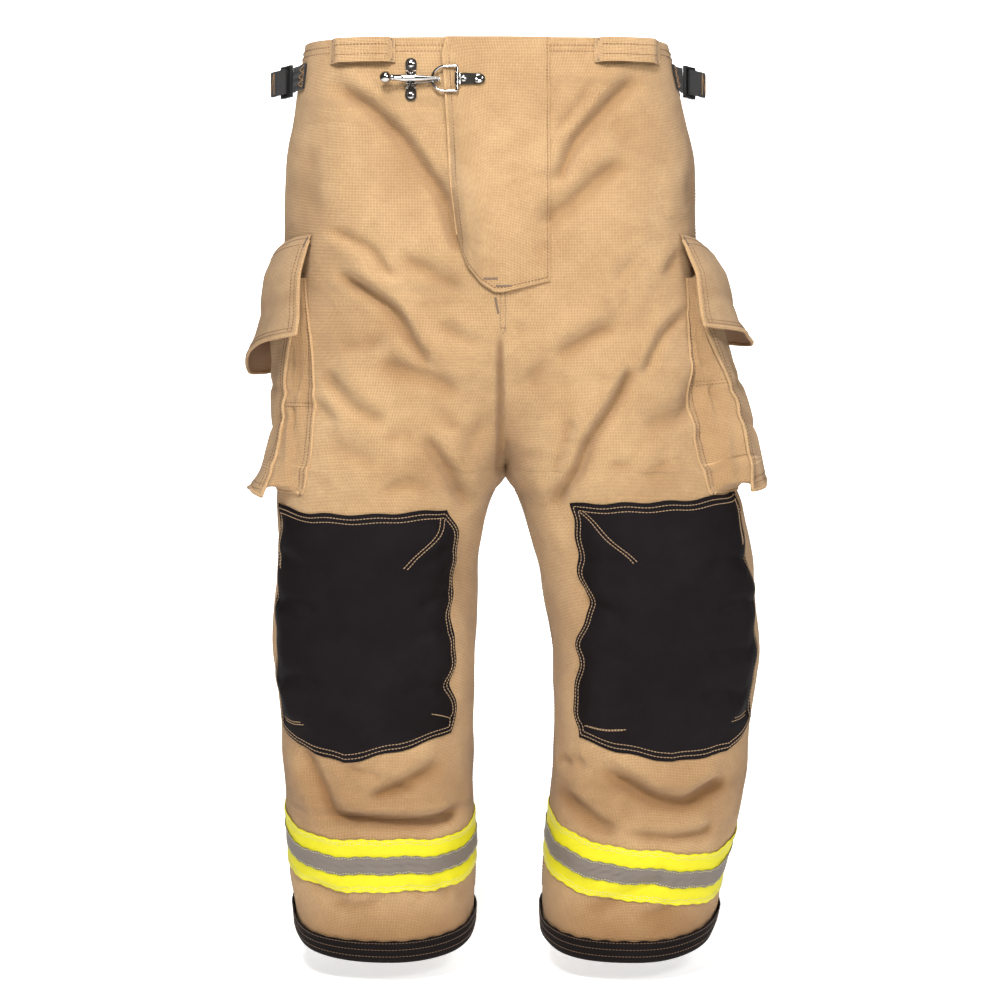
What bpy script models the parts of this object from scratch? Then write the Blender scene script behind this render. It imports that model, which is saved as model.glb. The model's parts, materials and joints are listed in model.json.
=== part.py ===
"""Firefighter's bunker pants, built the way they are sewn: shell panels over a liner, a hook-and-dee fly,
bellows pockets, padded knees, reflective trim and bound cuffs. Metres, +Z up, the front faces -Y.
The origin is the centre-front seam's plane at the waist edge; the wearer's right leg is at -X.
"""

import math

import bmesh
import bpy
from mathutils import Matrix, Vector

MM = 0.001
RIGHT = -1
LEFT = 1
SIDE_NAMES = {RIGHT: "right", LEFT: "left"}

# The body form, level by level from the waist edge down. Each row: level; X of the right leg's outer
# and inner side, X of the left leg's inner and outer side; depth in front and behind; squareness.
CROTCH = -0.425
FORM = (
    (0.000, -0.198, 0.000, 0.000, 0.171, 0.128, 0.130, 4.0),
    (-0.060, -0.208, 0.000, 0.000, 0.186, 0.133, 0.134, 3.8),
    (-0.120, -0.2175, 0.000, 0.000, 0.199, 0.137, 0.142, 3.3),
    (-0.180, -0.2210, 0.000, 0.000, 0.202, 0.139, 0.149, 2.9),
    (-0.250, -0.2205, 0.000, 0.000, 0.210, 0.138, 0.149, 2.7),
    (-0.330, -0.2170, 0.002, 0.002, 0.217, 0.132, 0.144, 2.6),
    (-0.375, -0.2190, 0.004, 0.004, 0.225, 0.127, 0.138, 2.5),
    (-0.405, -0.2230, 0.005, 0.005, 0.230, 0.122, 0.132, 2.5),
    (-0.418, -0.2250, 0.006, 0.006, 0.232, 0.119, 0.128, 2.5),
    (CROTCH, -0.2260, 0.005, 0.007, 0.234, 0.117, 0.126, 2.5),
    (-0.460, -0.2310, -0.011, 0.0206, 0.2480, 0.108, 0.116, 2.4),
    (-0.530, -0.2300, -0.0255, 0.0430, 0.2610, 0.098, 0.103, 2.4),
    (-0.620, -0.2340, -0.0255, 0.0535, 0.2665, 0.095, 0.098, 2.4),
    (-0.690, -0.2250, -0.0290, 0.0550, 0.2570, 0.092, 0.094, 2.4),
    (-0.770, -0.2205, -0.0280, 0.0505, 0.2480, 0.090, 0.092, 2.4),
    (-0.840, -0.2170, -0.0260, 0.0445, 0.2270, 0.092, 0.094, 2.4),
    (-0.915, -0.2030, -0.0300, 0.0420, 0.2130, 0.094, 0.096, 2.4),
)
RISE_START = -0.27
HEM = -0.899
HEM_TILT = 0.12
COLUMN = 20

SEAM_GAP = 0.0004
SHELL = 0.0020
LINER_TOP = -0.046
LINER_BOTTOM = -0.862
LINER_OUT = (-0.0062, -0.0032)
FACING_HEIGHT = 0.040
FACING_OUT = (-0.0044, -0.0026)
SKIN_GAP = 0.0005

FLY_RIGHT_EDGE = 0.0485
TAPE_OUT = (0.0005, 0.0013)
HOOK_TAPE_OUT = (0.0015, 0.0021)
FLAP_OUT = (0.0027, 0.0043)
FLAP_SEWN_OUT = (0.0006, 0.0022)

POCKET_ANGLE = 50
POCKET_TOP = -0.232
POCKET_BOTTOM = -0.450
POCKET_FLAP_TOP = -0.192
POCKET_FLAP_BOTTOM = -0.304
POCKET_FLAP_ANGLE = 56
POCKET_CLOTH = 0.0016
# The right bag hangs flat and flares at its lip; the left one is fuller.
POCKET_BULGE = {
    RIGHT: ((0.0, 0.0100), (0.25, 0.0140), (0.5, 0.0150), (0.75, 0.0125), (0.9, 0.0150), (1.0, 0.0270)),
    LEFT: ((0.0, 0.0100), (0.25, 0.0150), (0.5, 0.0260), (0.75, 0.0330), (0.9, 0.0320), (1.0, 0.0285)),
}
# Depth below the waist, and the share of its width that the panel keeps there:
# the bellows draw the bag in under the flap.
POCKET_SWEEP = (
    (0.232, 1.0),
    (0.270, 0.97),
    (0.300, 0.86),
    (0.330, 0.72),
    (0.360, 0.65),
    (0.425, 0.62),
    (0.450, 0.70),
)
POCKET_FLAP_RISE = ((0.0, 0.0010), (0.12, 0.0080), (0.34, 0.0190), (0.8, 0.0270), (1.0, 0.0340))
POCKET_FLAP_SWELL = {RIGHT: 1.0, LEFT: 1.2}

KNEE_TOP = -0.464
KNEE_BOTTOM = -0.716
KNEE_PAD = 0.0055
KNEE_LEATHER = 0.0016
# Depth below the waist, and the angle of the knee patch's inner edge there.
KNEE_EDGE = {
    RIGHT: ((0.464, 129.0), (0.530, 138.0), (0.640, 139.0), (0.716, 136.0)),
    LEFT: ((0.464, 122.5), (0.530, 132.0), (0.620, 140.0), (0.716, 139.0)),
}

TRIM_WIDTH = 0.0508
STRIPE_WIDTH = 0.0160
TRIM_LEVEL = {RIGHT: (-0.8145, -0.030), LEFT: (-0.8235, -0.130)}
CUFF_HEIGHT = 0.022

LOOP_WIDTH = 0.064
LOOP_HEIGHT = 0.024
LOOP_RISE = 0.0072
WEBBING = 0.0016
WEB_WIDTH = 0.0254

HOOK_AT = Vector((-0.0868, -0.1311, -0.0420))
HOOK_YAW = math.radians(-1.1)
HOOK_TILT = math.radians(4.6)
PIVOT_OUT = 8.2
PIN_RADIUS = 1.30
LUG_RADIUS = 3.0
KNOB_RISE = 4.5
PIN_CLEARANCE = 0.08
DEE_BAR_AT = 45.3
DEE_BAR_OUT = 7.3
DEE_WIRE = 1.35
DEE_ARC_AT = 20.8
DEE_ARC_OUT = 4.5
DEE_HALF_HEIGHT = 12.2
RIVET_SHANK = 1.4

COLOURS = {
    "shell_cloth": ((0.62, 0.44, 0.24, 1), 0.90, 0.0),
    "liner_cloth": ((0.75, 0.70, 0.55, 1), 0.90, 0.0),
    "knee_leather": ((0.018, 0.016, 0.018, 1), 0.60, 0.0),
    "knee_foam": ((0.10, 0.10, 0.10, 1), 0.95, 0.0),
    "lime_tape": ((0.62, 0.95, 0.02, 1), 0.55, 0.0),
    "silver_tape": ((0.42, 0.42, 0.42, 1), 0.40, 0.2),
    "cuff_leather": ((0.015, 0.014, 0.016, 1), 0.65, 0.0),
    "hook_tape": ((0.35, 0.25, 0.14, 1), 0.95, 0.0),
    "webbing": ((0.012, 0.012, 0.013, 1), 0.75, 0.0),
    "buckle_plastic": ((0.010, 0.010, 0.011, 1), 0.40, 0.0),
    "nickel": ((0.75, 0.73, 0.70, 1), 0.15, 1.0),
}


def material(name):
    found = bpy.data.materials.get(name)
    if found:
        return found
    colour, roughness, metallic = COLOURS[name]
    made = bpy.data.materials.new(name)
    made.use_nodes = True
    shader = made.node_tree.nodes["Principled BSDF"]
    shader.inputs["Base Color"].default_value = colour
    shader.inputs["Roughness"].default_value = roughness
    shader.inputs["Metallic"].default_value = metallic
    return made


def add_object(name, mesh, slot, parent=None):
    made = bpy.data.objects.new(name, mesh)
    made.data.materials.append(material(slot))
    bpy.context.scene.collection.objects.link(made)
    if parent:
        made.parent = parent
        made.matrix_parent_inverse = parent.matrix_world.inverted()
    return made


def add_pivot(name, place):
    """An empty on a joint's axis, which the moving pieces hang from."""
    made = bpy.data.objects.new(name, None)
    made.location = place
    bpy.context.scene.collection.objects.link(made)
    bpy.context.view_layer.update()
    return made


def finish_mesh(name, bm, smooth=40):
    bmesh.ops.recalc_face_normals(bm, faces=bm.faces)
    mesh = bpy.data.meshes.new(name)
    bm.to_mesh(mesh)
    bm.free()
    mesh.shade_smooth()
    mesh.set_sharp_from_angle(angle=math.radians(smooth))
    return mesh


def mix(a, b, t):
    return a + (b - a) * t


def ease(t):
    t = min(max(t, 0.0), 1.0)
    return t * t * (3 - 2 * t)


def along(table, x):
    """Reads a table of (position, value) pairs, straight between its rows."""
    for (x0, y0), (x1, y1) in zip(table, table[1:]):
        if x <= x1:
            return mix(y0, y1, max((x - x0) / (x1 - x0), 0.0))
    return table[-1][1]


# ---- the body form ----


def form(side, level):
    """Outer X, inner X, front depth, back depth and squareness of the form at a level."""
    upper, lower = FORM[0], FORM[1]
    for upper, lower in zip(FORM, FORM[1:]):
        if level >= lower[0]:
            break
    t = (upper[0] - level) / (upper[0] - lower[0])
    row = [mix(a, b, t) for a, b in zip(upper, lower)]
    if side == RIGHT:
        return row[1], row[2], row[5], row[6], row[7]
    return row[4], row[3], row[5], row[6], row[7]


def section_point(half_width, half_depth, power, angle):
    """Point on a superellipse, by its polar angle."""
    c, s = math.cos(angle), math.sin(angle)
    r = ((abs(c) / half_width) ** power + (abs(s) / half_depth) ** power) ** (-1 / power)
    return r * c, r * s


def rise_weight(level, out):
    """0 where both halves are one seat, 1 from the crotch down, where each leg is a closed tube."""
    crotch = CROTCH - 1.6 * min(out, 0.0)
    t = min(max((RISE_START - level) / (RISE_START - crotch), 0.0), 1.0)
    return 1 - math.sqrt(1 - t * t)


def surface(side, angle, level, out=0.0):
    """A point on the form, out metres proud of the shell. Angle 0 is the outseam, 90 the front of the
    leg, 180 the seam in front between the legs, and -180 the one behind."""
    outer, inner, front, back, power = form(side, level)
    weight = rise_weight(level, out)
    turn = math.radians(abs(angle))
    ahead = angle >= 0
    depth = (front if ahead else back) + out
    centre_line = inner if level >= CROTCH else 0.0
    seat_x, seat_y = section_point(abs(outer - centre_line) + out, depth, power, turn / 2)
    inner_out = out if level < CROTCH or out < 0 else 0.0
    half = (abs(outer - inner) + out + inner_out) / 2
    leg_x, leg_y = section_point(half, depth, power, turn)
    leg_centre = outer + side * out - side * half
    x = mix(centre_line + side * seat_x, leg_centre + side * leg_x, weight)
    y = mix(seat_y, leg_y, weight)
    point = Vector((x, -y if ahead else y, level))
    if abs(angle) in (0, 180):
        point.y += -SEAM_GAP if ahead else SEAM_GAP
    if abs(angle) == 180 and level > CROTCH:
        limit = inner + side * SEAM_GAP
        point.x = max(point.x, limit) if side == LEFT else min(point.x, limit)
    return point


def hem_level(side, angle, rise=0.0):
    """The hem is cut so that its front is lower than its back."""
    at = surface(side, angle, HEM + rise)
    return HEM + rise + HEM_TILT * at.y


def front_point(x, level, out):
    """A point on the seat's front, found from its X."""
    side = RIGHT if x < 0 else LEFT
    outer, _, front, _, power = form(side, level)
    y = front * (1 - (abs(x) / abs(outer)) ** power) ** (1 / power)
    return Vector((x, -(y + out), level))


# ---- solid builders ----


def slab(name, outer, inner, slot, parent=None, ring=False):
    """A closed solid between two matching grids of points. A ring's columns meet end to end."""
    bm = bmesh.new()
    grids = [[[bm.verts.new(p) for p in row] for row in grid] for grid in (outer, inner)]
    rows = len(outer)
    columns = len(outer[0])
    steps = columns if ring else columns - 1
    for grid in grids:
        for i in range(rows - 1):
            for j in range(steps):
                k = (j + 1) % columns
                bm.faces.new((grid[i][j], grid[i][k], grid[i + 1][k], grid[i + 1][j]))
    a, b = grids
    for i in (0, rows - 1):
        for j in range(steps):
            k = (j + 1) % columns
            bm.faces.new((a[i][j], a[i][k], b[i][k], b[i][j]))
    if not ring:
        for j in (0, columns - 1):
            for i in range(rows - 1):
                bm.faces.new((a[i][j], a[i + 1][j], b[i + 1][j], b[i][j]))
    return add_object(name, finish_mesh(name, bm), slot, parent)


def swept(name, rings, slot, parent=None, closed=False):
    """A closed solid through a row of matching section rings, capped at its ends unless it closes."""
    bm = bmesh.new()
    loops = [[bm.verts.new(p) for p in ring] for ring in rings]
    count = len(loops[0])
    pairs = list(zip(loops, loops[1:]))
    if closed:
        pairs.append((loops[-1], loops[0]))
    for a, b in pairs:
        for i in range(count):
            j = (i + 1) % count
            bm.faces.new((a[i], a[j], b[j], b[i]))
    if not closed:
        bm.faces.new(loops[0])
        bm.faces.new(loops[-1])
    return add_object(name, finish_mesh(name, bm), slot, parent)


def span(start, end, step):
    """Values from start to end, on every multiple of step between them."""
    low, high = min(start, end), max(start, end)
    inside = [k * step for k in range(math.ceil(low / step), math.floor(high / step) + 1)]
    values = sorted({low, high, *inside})
    return values if start <= end else values[::-1]


def levels_between(top, bottom):
    """The form's own levels between two others, with both of these."""
    return [top] + [row[0] for row in FORM if bottom < row[0] < top] + [bottom]


def patch(name, side, angles, levels, low, high, slot, parent=None, fit=None):
    """A sewn-on piece that follows the form. low and high give its faces' heights over the shell, and
    fit moves an angle at a level, where the piece isn't straight-sided."""
    grids = []
    for height in (high, low):
        grid = []
        for i, level in enumerate(levels):
            v = i / (len(levels) - 1)
            row = []
            for j, angle in enumerate(angles):
                u = j / (len(angles) - 1)
                at = fit(angle, level) if fit else angle
                row.append(surface(side, at, level, height(u, v)))
            grid.append(row)
        grids.append(grid)
    return slab(name, grids[0], grids[1], slot, parent)


def flat(height):
    return lambda u, v: height


# ---- cloth panels ----


def build_shell_panel(side, back):
    name = f"{SIDE_NAMES[side]}_{'back' if back else 'front'}_shell"
    angles = list(range(-180, 1, COLUMN)) if back else list(range(0, 181, COLUMN))
    grids = []
    for out in (0.0, -SHELL):
        grid = []
        for row in [*FORM[:-1], CUFF_HEIGHT, 0.0]:
            points = []
            for angle in angles:
                level = row[0] if row in FORM else hem_level(side, angle, row)
                point = surface(side, angle, level, out)
                if back and angle == 0:
                    point.y += 2 * SEAM_GAP
                points.append(point)
            grid.append(points)
        grids.append(grid)
    return slab(name, grids[0], grids[1], "shell_cloth")


def build_lining(side):
    """The thermal liner of one leg and half the seat, and the facing that holds it at the waist."""
    angles = list(range(-180, 181, COLUMN))
    levels = levels_between(LINER_TOP, LINER_BOTTOM)
    name = SIDE_NAMES[side]
    patch(f"{name}_liner", side, angles, levels, flat(LINER_OUT[0]), flat(LINER_OUT[1]), "liner_cloth")
    levels = [-0.001, -0.001 - FACING_HEIGHT]
    low, high = flat(FACING_OUT[0]), flat(FACING_OUT[1])
    patch(f"{name}_waist_facing", side, angles, levels, low, high, "liner_cloth")


def build_fly():
    free_edge = (
        (-0.19, -0.0420), (-0.140, -0.0478), (-0.087, -0.0507),
        (-0.016, -0.0556), (0.0, -0.0517),
    )
    depths = ((0.0, 0.200), (0.12, 0.226), (0.25, 0.240), (0.40, 0.2495), (0.5, 0.2490), (1.0, 0.2385))
    columns = [0.0, 0.12, 0.25, 0.40, 0.5, 0.75, 1.0]
    rows = 9
    grids = []
    for layer in (1, 0):
        grid = []
        for i in range(rows + 1):
            points = []
            for u in columns:
                level = -along(depths, u) * i / rows
                edge = along(free_edge, max(level, -0.19))
                x = mix(edge, FLY_RIGHT_EDGE, u)
                height = mix(FLAP_OUT[layer], FLAP_SEWN_OUT[layer], ease((u - 0.55) / 0.4))
                points.append(front_point(x, level, height))
            grid.append(points)
        grids.append(grid)
    slab("fly_flap", grids[0], grids[1], "shell_cloth")
    for name, heights in (("fly_loop_tape", TAPE_OUT), ("fly_hook_tape", HOOK_TAPE_OUT)):
        grids = []
        for height in reversed(heights):
            grid = []
            for level in (-0.075, -0.12, -0.18, -0.20):
                grid.append([front_point(x, level, height) for x in (-0.038, -0.022, -0.006)])
            grids.append(grid)
        slab(name, grids[0], grids[1], "hook_tape")


def build_suspender_loop(name, centre_x, back):
    """A flat tunnel of shell cloth, sewn down at both ends, that a suspender tab goes through."""
    half = LOOP_WIDTH / 2
    places = [-1.0, -0.86, -0.72, -0.4, 0.0, 0.4, 0.72, 0.86, 1.0]
    grids = []
    for layer in (POCKET_CLOTH, 0.0):
        grid = []
        for level in (-0.0008, -0.0008 - LOOP_HEIGHT):
            row = []
            for place in places:
                rise = LOOP_RISE * ease((1 - abs(place)) / 0.28)
                x = centre_x + place * half
                row.append(seat_point(x, level, SKIN_GAP + rise + layer, back))
            grid.append(row)
        grids.append(grid)
    slab(name, grids[0], grids[1], "shell_cloth")


def seat_point(x, level, out, back):
    """A point over the seat's front or back, moved out along the form's own normal."""
    side = RIGHT if x < 0 else LEFT
    outer, _, front, behind, power = form(side, level)
    depth = behind if back else front
    ratio = abs(x) / abs(outer)
    y = depth * (1 - ratio**power) ** (1 / power)
    slope = (depth / abs(outer)) * ratio ** (power - 1) / (1 - ratio**power) ** (1 - 1 / power)
    normal = Vector((side * slope, 1.0, 0.0)).normalized()
    point = Vector((x, y, level)) + normal * out
    return point if back else Vector((point.x, -point.y, level))


# ---- pockets ----


def pocket_height(side, v):
    """How far the pocket's outer cloth stands off the thigh, from its mouth at v 0 to its lip at v 1."""
    return along(POCKET_BULGE[side], v)


def pocket_sweep(level):
    """The share of the pocket's width that its panel keeps at a level."""
    return along(POCKET_SWEEP, -level)


def flap_height(side, v):
    return POCKET_FLAP_SWELL[side] * along(POCKET_FLAP_RISE, v)


def build_pocket(side):
    name = SIDE_NAMES[side]
    angles = span(-POCKET_ANGLE, POCKET_ANGLE, COLUMN)
    drop = POCKET_TOP - POCKET_BOTTOM
    levels = [POCKET_TOP - drop * v for v in (0.0, 0.12, 0.25, 0.5, 0.75, 0.9, 1.0)]
    shares = [(POCKET_TOP - level) / drop for level in levels]

    def low(u, v):
        return pocket_height(side, shares[round(v * (len(shares) - 1))])

    def high(u, v):
        return low(u, v) + POCKET_CLOTH

    def fit(angle, level):
        return angle * pocket_sweep(level)

    patch(f"{name}_pocket_panel", side, angles, levels, low, high, "shell_cloth", fit=fit)
    build_gusset(side)
    build_pocket_flap(side)


def build_gusset(side):
    """The bellows strip that runs down the pocket's front side, along its bottom and up its back."""
    name = f"{SIDE_NAMES[side]}_pocket_gusset"
    drop = POCKET_TOP - POCKET_BOTTOM
    edge = POCKET_ANGLE - 1.0
    floor = POCKET_BOTTOM + 0.004
    sides = [POCKET_TOP - 0.003, *(POCKET_TOP - drop * v for v in (0.12, 0.25, 0.5, 0.75, 0.9)), floor]
    route = [(edge, level) for level in sides]
    route += [(angle, floor) for angle in (40, 20, 0, -20, -40)]
    route += [(-edge, level) for level in reversed(sides)]
    rings = []
    for angle, level in route:
        v = (POCKET_TOP - level) / drop
        top = pocket_height(side, v) - 2 * SKIN_GAP
        foot = 2 * SKIN_GAP
        inner_angle = math.copysign(min(abs(angle), edge - 1.6), angle)
        inner_level = max(level, floor + POCKET_CLOTH)
        share = pocket_sweep(level)
        ring = [surface(side, angle, level, foot), surface(side, angle * share, level, top)]
        inner_top = min(top, pocket_height(side, (POCKET_TOP - inner_level) / drop) - 2 * SKIN_GAP)
        ring.append(surface(side, inner_angle * share, inner_level, inner_top - 0.0004))
        ring.append(surface(side, inner_angle, inner_level, foot))
        rings.append(ring)
    swept(name, rings, "shell_cloth")


def build_pocket_flap(side):
    name = SIDE_NAMES[side]
    hinge = surface(side, 0, POCKET_FLAP_TOP, 0.0018)
    hinge.y = 0.0
    pivot = add_pivot(f"{name}_pocket_flap_pivot", hinge)
    angles = span(-POCKET_FLAP_ANGLE, POCKET_FLAP_ANGLE, COLUMN)
    drop = POCKET_FLAP_TOP - POCKET_FLAP_BOTTOM
    shares = (0.0, 0.12, 0.34, 0.55, 0.8, 1.0)
    levels = [POCKET_FLAP_TOP - drop * v for v in shares]

    def low(u, v):
        return flap_height(side, shares[round(v * (len(shares) - 1))])

    def high(u, v):
        return low(u, v) + POCKET_CLOTH

    patch(f"{name}_pocket_flap", side, angles, levels, low, high, "shell_cloth", pivot)
    tape_levels = [-0.262, -0.278]

    def under_flap(offset):
        return lambda u, v: flap_height(side, (POCKET_FLAP_TOP - mix(*tape_levels, v)) / drop) - offset

    def over_panel(offset):
        share = POCKET_TOP - POCKET_BOTTOM
        return lambda u, v: (
            pocket_height(side, (POCKET_TOP - mix(*tape_levels, v)) / share) + POCKET_CLOTH + offset
        )

    tape_angles = [-COLUMN, 0, COLUMN]
    hook = f"{name}_pocket_hook_tape"
    patch(hook, side, tape_angles, tape_levels, under_flap(0.0018), under_flap(0.0009), "hook_tape", pivot)
    loop = f"{name}_pocket_loop_tape"
    patch(loop, side, tape_angles, tape_levels, over_panel(0.0006), over_panel(0.0014), "hook_tape")


# ---- knees, trim and cuffs ----


def build_knee(side):
    name = SIDE_NAMES[side]
    angles = [12, 20, 40, 60, 80, 100, 120, 138]
    levels = [KNEE_TOP, -0.485, -0.530, -0.620, -0.690, KNEE_BOTTOM]

    def dome(u, v):
        """0 along the patch's edges and 1 over the pad."""
        return ease(min(u, 1 - u) / 0.12) * ease(min(v, 1 - v) / 0.16)

    def fit(angle, level):
        return along(KNEE_EDGE[side], -level) if angle == angles[-1] else angle

    def low(u, v):
        return SKIN_GAP + (KNEE_PAD + 2 * SKIN_GAP) * dome(u, v)

    def high(u, v):
        return low(u, v) + KNEE_LEATHER

    patch(f"{name}_knee_patch", side, angles, levels, low, high, "knee_leather", fit=fit)
    inner = [40, 60, 80, 100, 120]
    core = [-0.530, -0.620, -0.690]
    patch(f"{name}_knee_pad", side, inner, core, flat(SKIN_GAP), flat(KNEE_PAD), "knee_foam")


def ring_angles():
    return list(range(-180, 180, COLUMN))


def ring_point(side, angle, level, out):
    """A point on a closed ring round the leg, where no seam parts front and back."""
    point = surface(side, angle, level, out)
    if abs(angle) in (0, 180):
        point.y = 0.0
    return point


def build_trim(side):
    """A two-inch lime tape round the lower leg, with a silver stripe sewn along its middle."""
    name = SIDE_NAMES[side]
    middle, slant = TRIM_LEVEL[side]
    layers = (
        (f"{name}_trim_tape", (TRIM_WIDTH / 2, STRIPE_WIDTH / 2), 0.0008, 0.0014, "lime_tape"),
        (f"{name}_trim_stripe", (STRIPE_WIDTH / 2,), 0.0018, 0.0023, "silver_tape"),
    )
    for label, edges, low, high, slot in layers:
        grids = []
        for out in (high, low):
            grid = []
            for edge in [*edges, *(-edge for edge in reversed(edges))]:
                row = []
                for angle in ring_angles():
                    at = surface(side, angle, middle)
                    level = middle + edge + HEM_TILT * at.y + slant * (at.x - side * 0.13)
                    row.append(ring_point(side, angle, level, out))
                grid.append(row)
            grids.append(grid)
        slab(label, grids[0], grids[1], slot, ring=True)


def build_cuff(side):
    """A leather binding folded round the hem: an outer leaf, a fold under the edge and an inner leaf."""
    outer, inner = 0.0023, -0.0046
    gap_out, gap_in = 0.0008, -0.0030
    floor = -0.0024
    section = (
        (outer, CUFF_HEIGHT),
        (outer, floor),
        (inner, floor),
        (inner, CUFF_HEIGHT * 0.9),
        (gap_in, CUFF_HEIGHT * 0.9),
        (gap_in, -0.0006),
        (gap_out, -0.0006),
        (gap_out, CUFF_HEIGHT),
    )
    rings = []
    for angle in ring_angles():
        base = hem_level(side, angle)
        rings.append([cuff_point(side, angle, base, out, rise) for out, rise in section])
    swept(f"{SIDE_NAMES[side]}_cuff", rings, "cuff_leather", closed=True)


def cuff_point(side, angle, base, out, rise):
    point = ring_point(side, angle, base + max(rise, 0.0), out)
    point.z = base + rise
    return point


# ---- take-up straps ----


def build_takeup(side):
    """A webbing strap along the waist's side, drawn in through a ladder buckle by its tabbed tail."""
    name = SIDE_NAMES[side]
    top, bottom = -0.0210, -0.0210 - WEB_WIDTH
    low, high = flat(2 * SKIN_GAP), flat(2 * SKIN_GAP + WEBBING)
    patch(f"{name}_takeup_anchor", side, [34, 40, 48], [top, bottom], low, high, "webbing")
    rear = [-100, -80, -60, -40, -20, 8]
    patch(f"{name}_takeup_strap", side, rear, [top, bottom], low, high, "webbing")
    corner = surface(side, 22, (top + bottom) / 2, 0.0065)
    pivot = add_pivot(f"{name}_takeup_pivot", corner)
    swing = math.radians(24)
    back_way = Vector((side * math.sin(swing), math.cos(swing), 0.0))
    out_way = Vector((side * math.cos(swing), -math.sin(swing), 0.0))
    build_ladder_buckle(f"{name}_takeup_buckle", corner, back_way, out_way, pivot)
    build_tail(f"{name}_takeup_tail", corner, back_way, out_way, pivot)


def build_ladder_buckle(name, corner, back_way, out_way, pivot):
    """A moulded frame with two slots and a raised, grooved thumb edge."""
    up = Vector((0, 0, 1))
    half = WEB_WIDTH / 2 + 0.0035
    depth = 0.0032
    rails = [(0.0, 0.0036), (0.0105, 0.0135), (0.0210, 0.0270)]
    bm = bmesh.new()
    outline = [(0.0, -half), (rails[-1][1], -half), (rails[-1][1], half), (0.0, half)]
    slots = []
    for (_, a), (b, _) in zip(rails, rails[1:]):
        reach = WEB_WIDTH / 2 + 0.0006
        slots.append([(a, -reach), (b, -reach), (b, reach), (a, reach)])
    xs = sorted({0.0, rails[-1][1], *(x for slot in slots for x, _ in slot)})
    ys = [-half, -WEB_WIDTH / 2 - 0.0006, WEB_WIDTH / 2 + 0.0006, half]
    layers = []
    for height in (0.0, depth):
        layer = {}
        for x in xs:
            for y in ys:
                rise = height * (1.0 if x < xs[-2] else 1.35)
                layer[x, y] = bm.verts.new(corner + back_way * x + up * y + out_way * rise)
        layers.append(layer)
    solid = {}
    for i in range(len(xs) - 1):
        for j in range(len(ys) - 1):
            middle = (xs[i] + xs[i + 1]) / 2
            hole = j == 1 and any(slot[0][0] < middle < slot[1][0] for slot in slots)
            solid[i, j] = not hole
    for (i, j), filled in solid.items():
        if not filled:
            continue
        corners = [(xs[i], ys[j]), (xs[i + 1], ys[j]), (xs[i + 1], ys[j + 1]), (xs[i], ys[j + 1])]
        neighbours = [(i, j - 1), (i + 1, j), (i, j + 1), (i - 1, j)]
        for layer in layers:
            bm.faces.new([layer[c] for c in corners])
        for k, neighbour in enumerate(neighbours):
            if not solid.get(neighbour, False):
                a, b = corners[k], corners[(k + 1) % 4]
                bm.faces.new((layers[0][a], layers[0][b], layers[1][b], layers[1][a]))
    add_object(name, finish_mesh(name, bm, 30), "buckle_plastic", pivot)


def build_tail(name, corner, back_way, out_way, pivot):
    """The free end of the webbing, lying over the buckle and ending in a folded pull tab."""
    up = Vector((0, 0, 1))
    stations = (
        (0.0040, 0.0052, 0.0),
        (0.0270, 0.0056, 0.0),
        (0.0330, 0.0060, 0.0),
        (0.0342, 0.0050, 0.0016),
        (0.0470, 0.0050, 0.0016),
        (0.0480, 0.0056, 0.0),
    )
    rings = []
    for x, height, thick in stations:
        low = corner + back_way * x + out_way * height
        lift = out_way * (WEBBING + thick)
        half = up * (WEB_WIDTH / 2)
        rings.append([low - half, low + half, low + half + lift, low - half + lift])
    swept(name, rings, "webbing", pivot)


# ---- hook and dee ----


def hardware_frame():
    turn = Matrix.Rotation(HOOK_YAW, 4, "Z") @ Matrix.Rotation(-HOOK_TILT, 4, "X")
    return Matrix.Translation(HOOK_AT) @ turn


def at_hook(u, out, up):
    """Hardware coordinates in millimetres: u towards the dee, out from the cloth, and up."""
    return hardware_frame() @ Vector((u * MM, -out * MM, up * MM))


def cylinder_rings(start, end, radius, sides):
    """Two rings of a round bar between two points given in hardware coordinates."""
    a, b = at_hook(*start), at_hook(*end)
    return [circle(point, b - a, radius * MM, sides) for point in (a, b)]


def circle(centre, normal, radius, sides):
    direction = normal.normalized()
    turn = direction.to_track_quat("Z", "Y")
    points = []
    for k in range(sides):
        angle = math.tau * k / sides
        points.append(centre + turn @ Vector((radius * math.cos(angle), radius * math.sin(angle), 0)))
    return points


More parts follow.
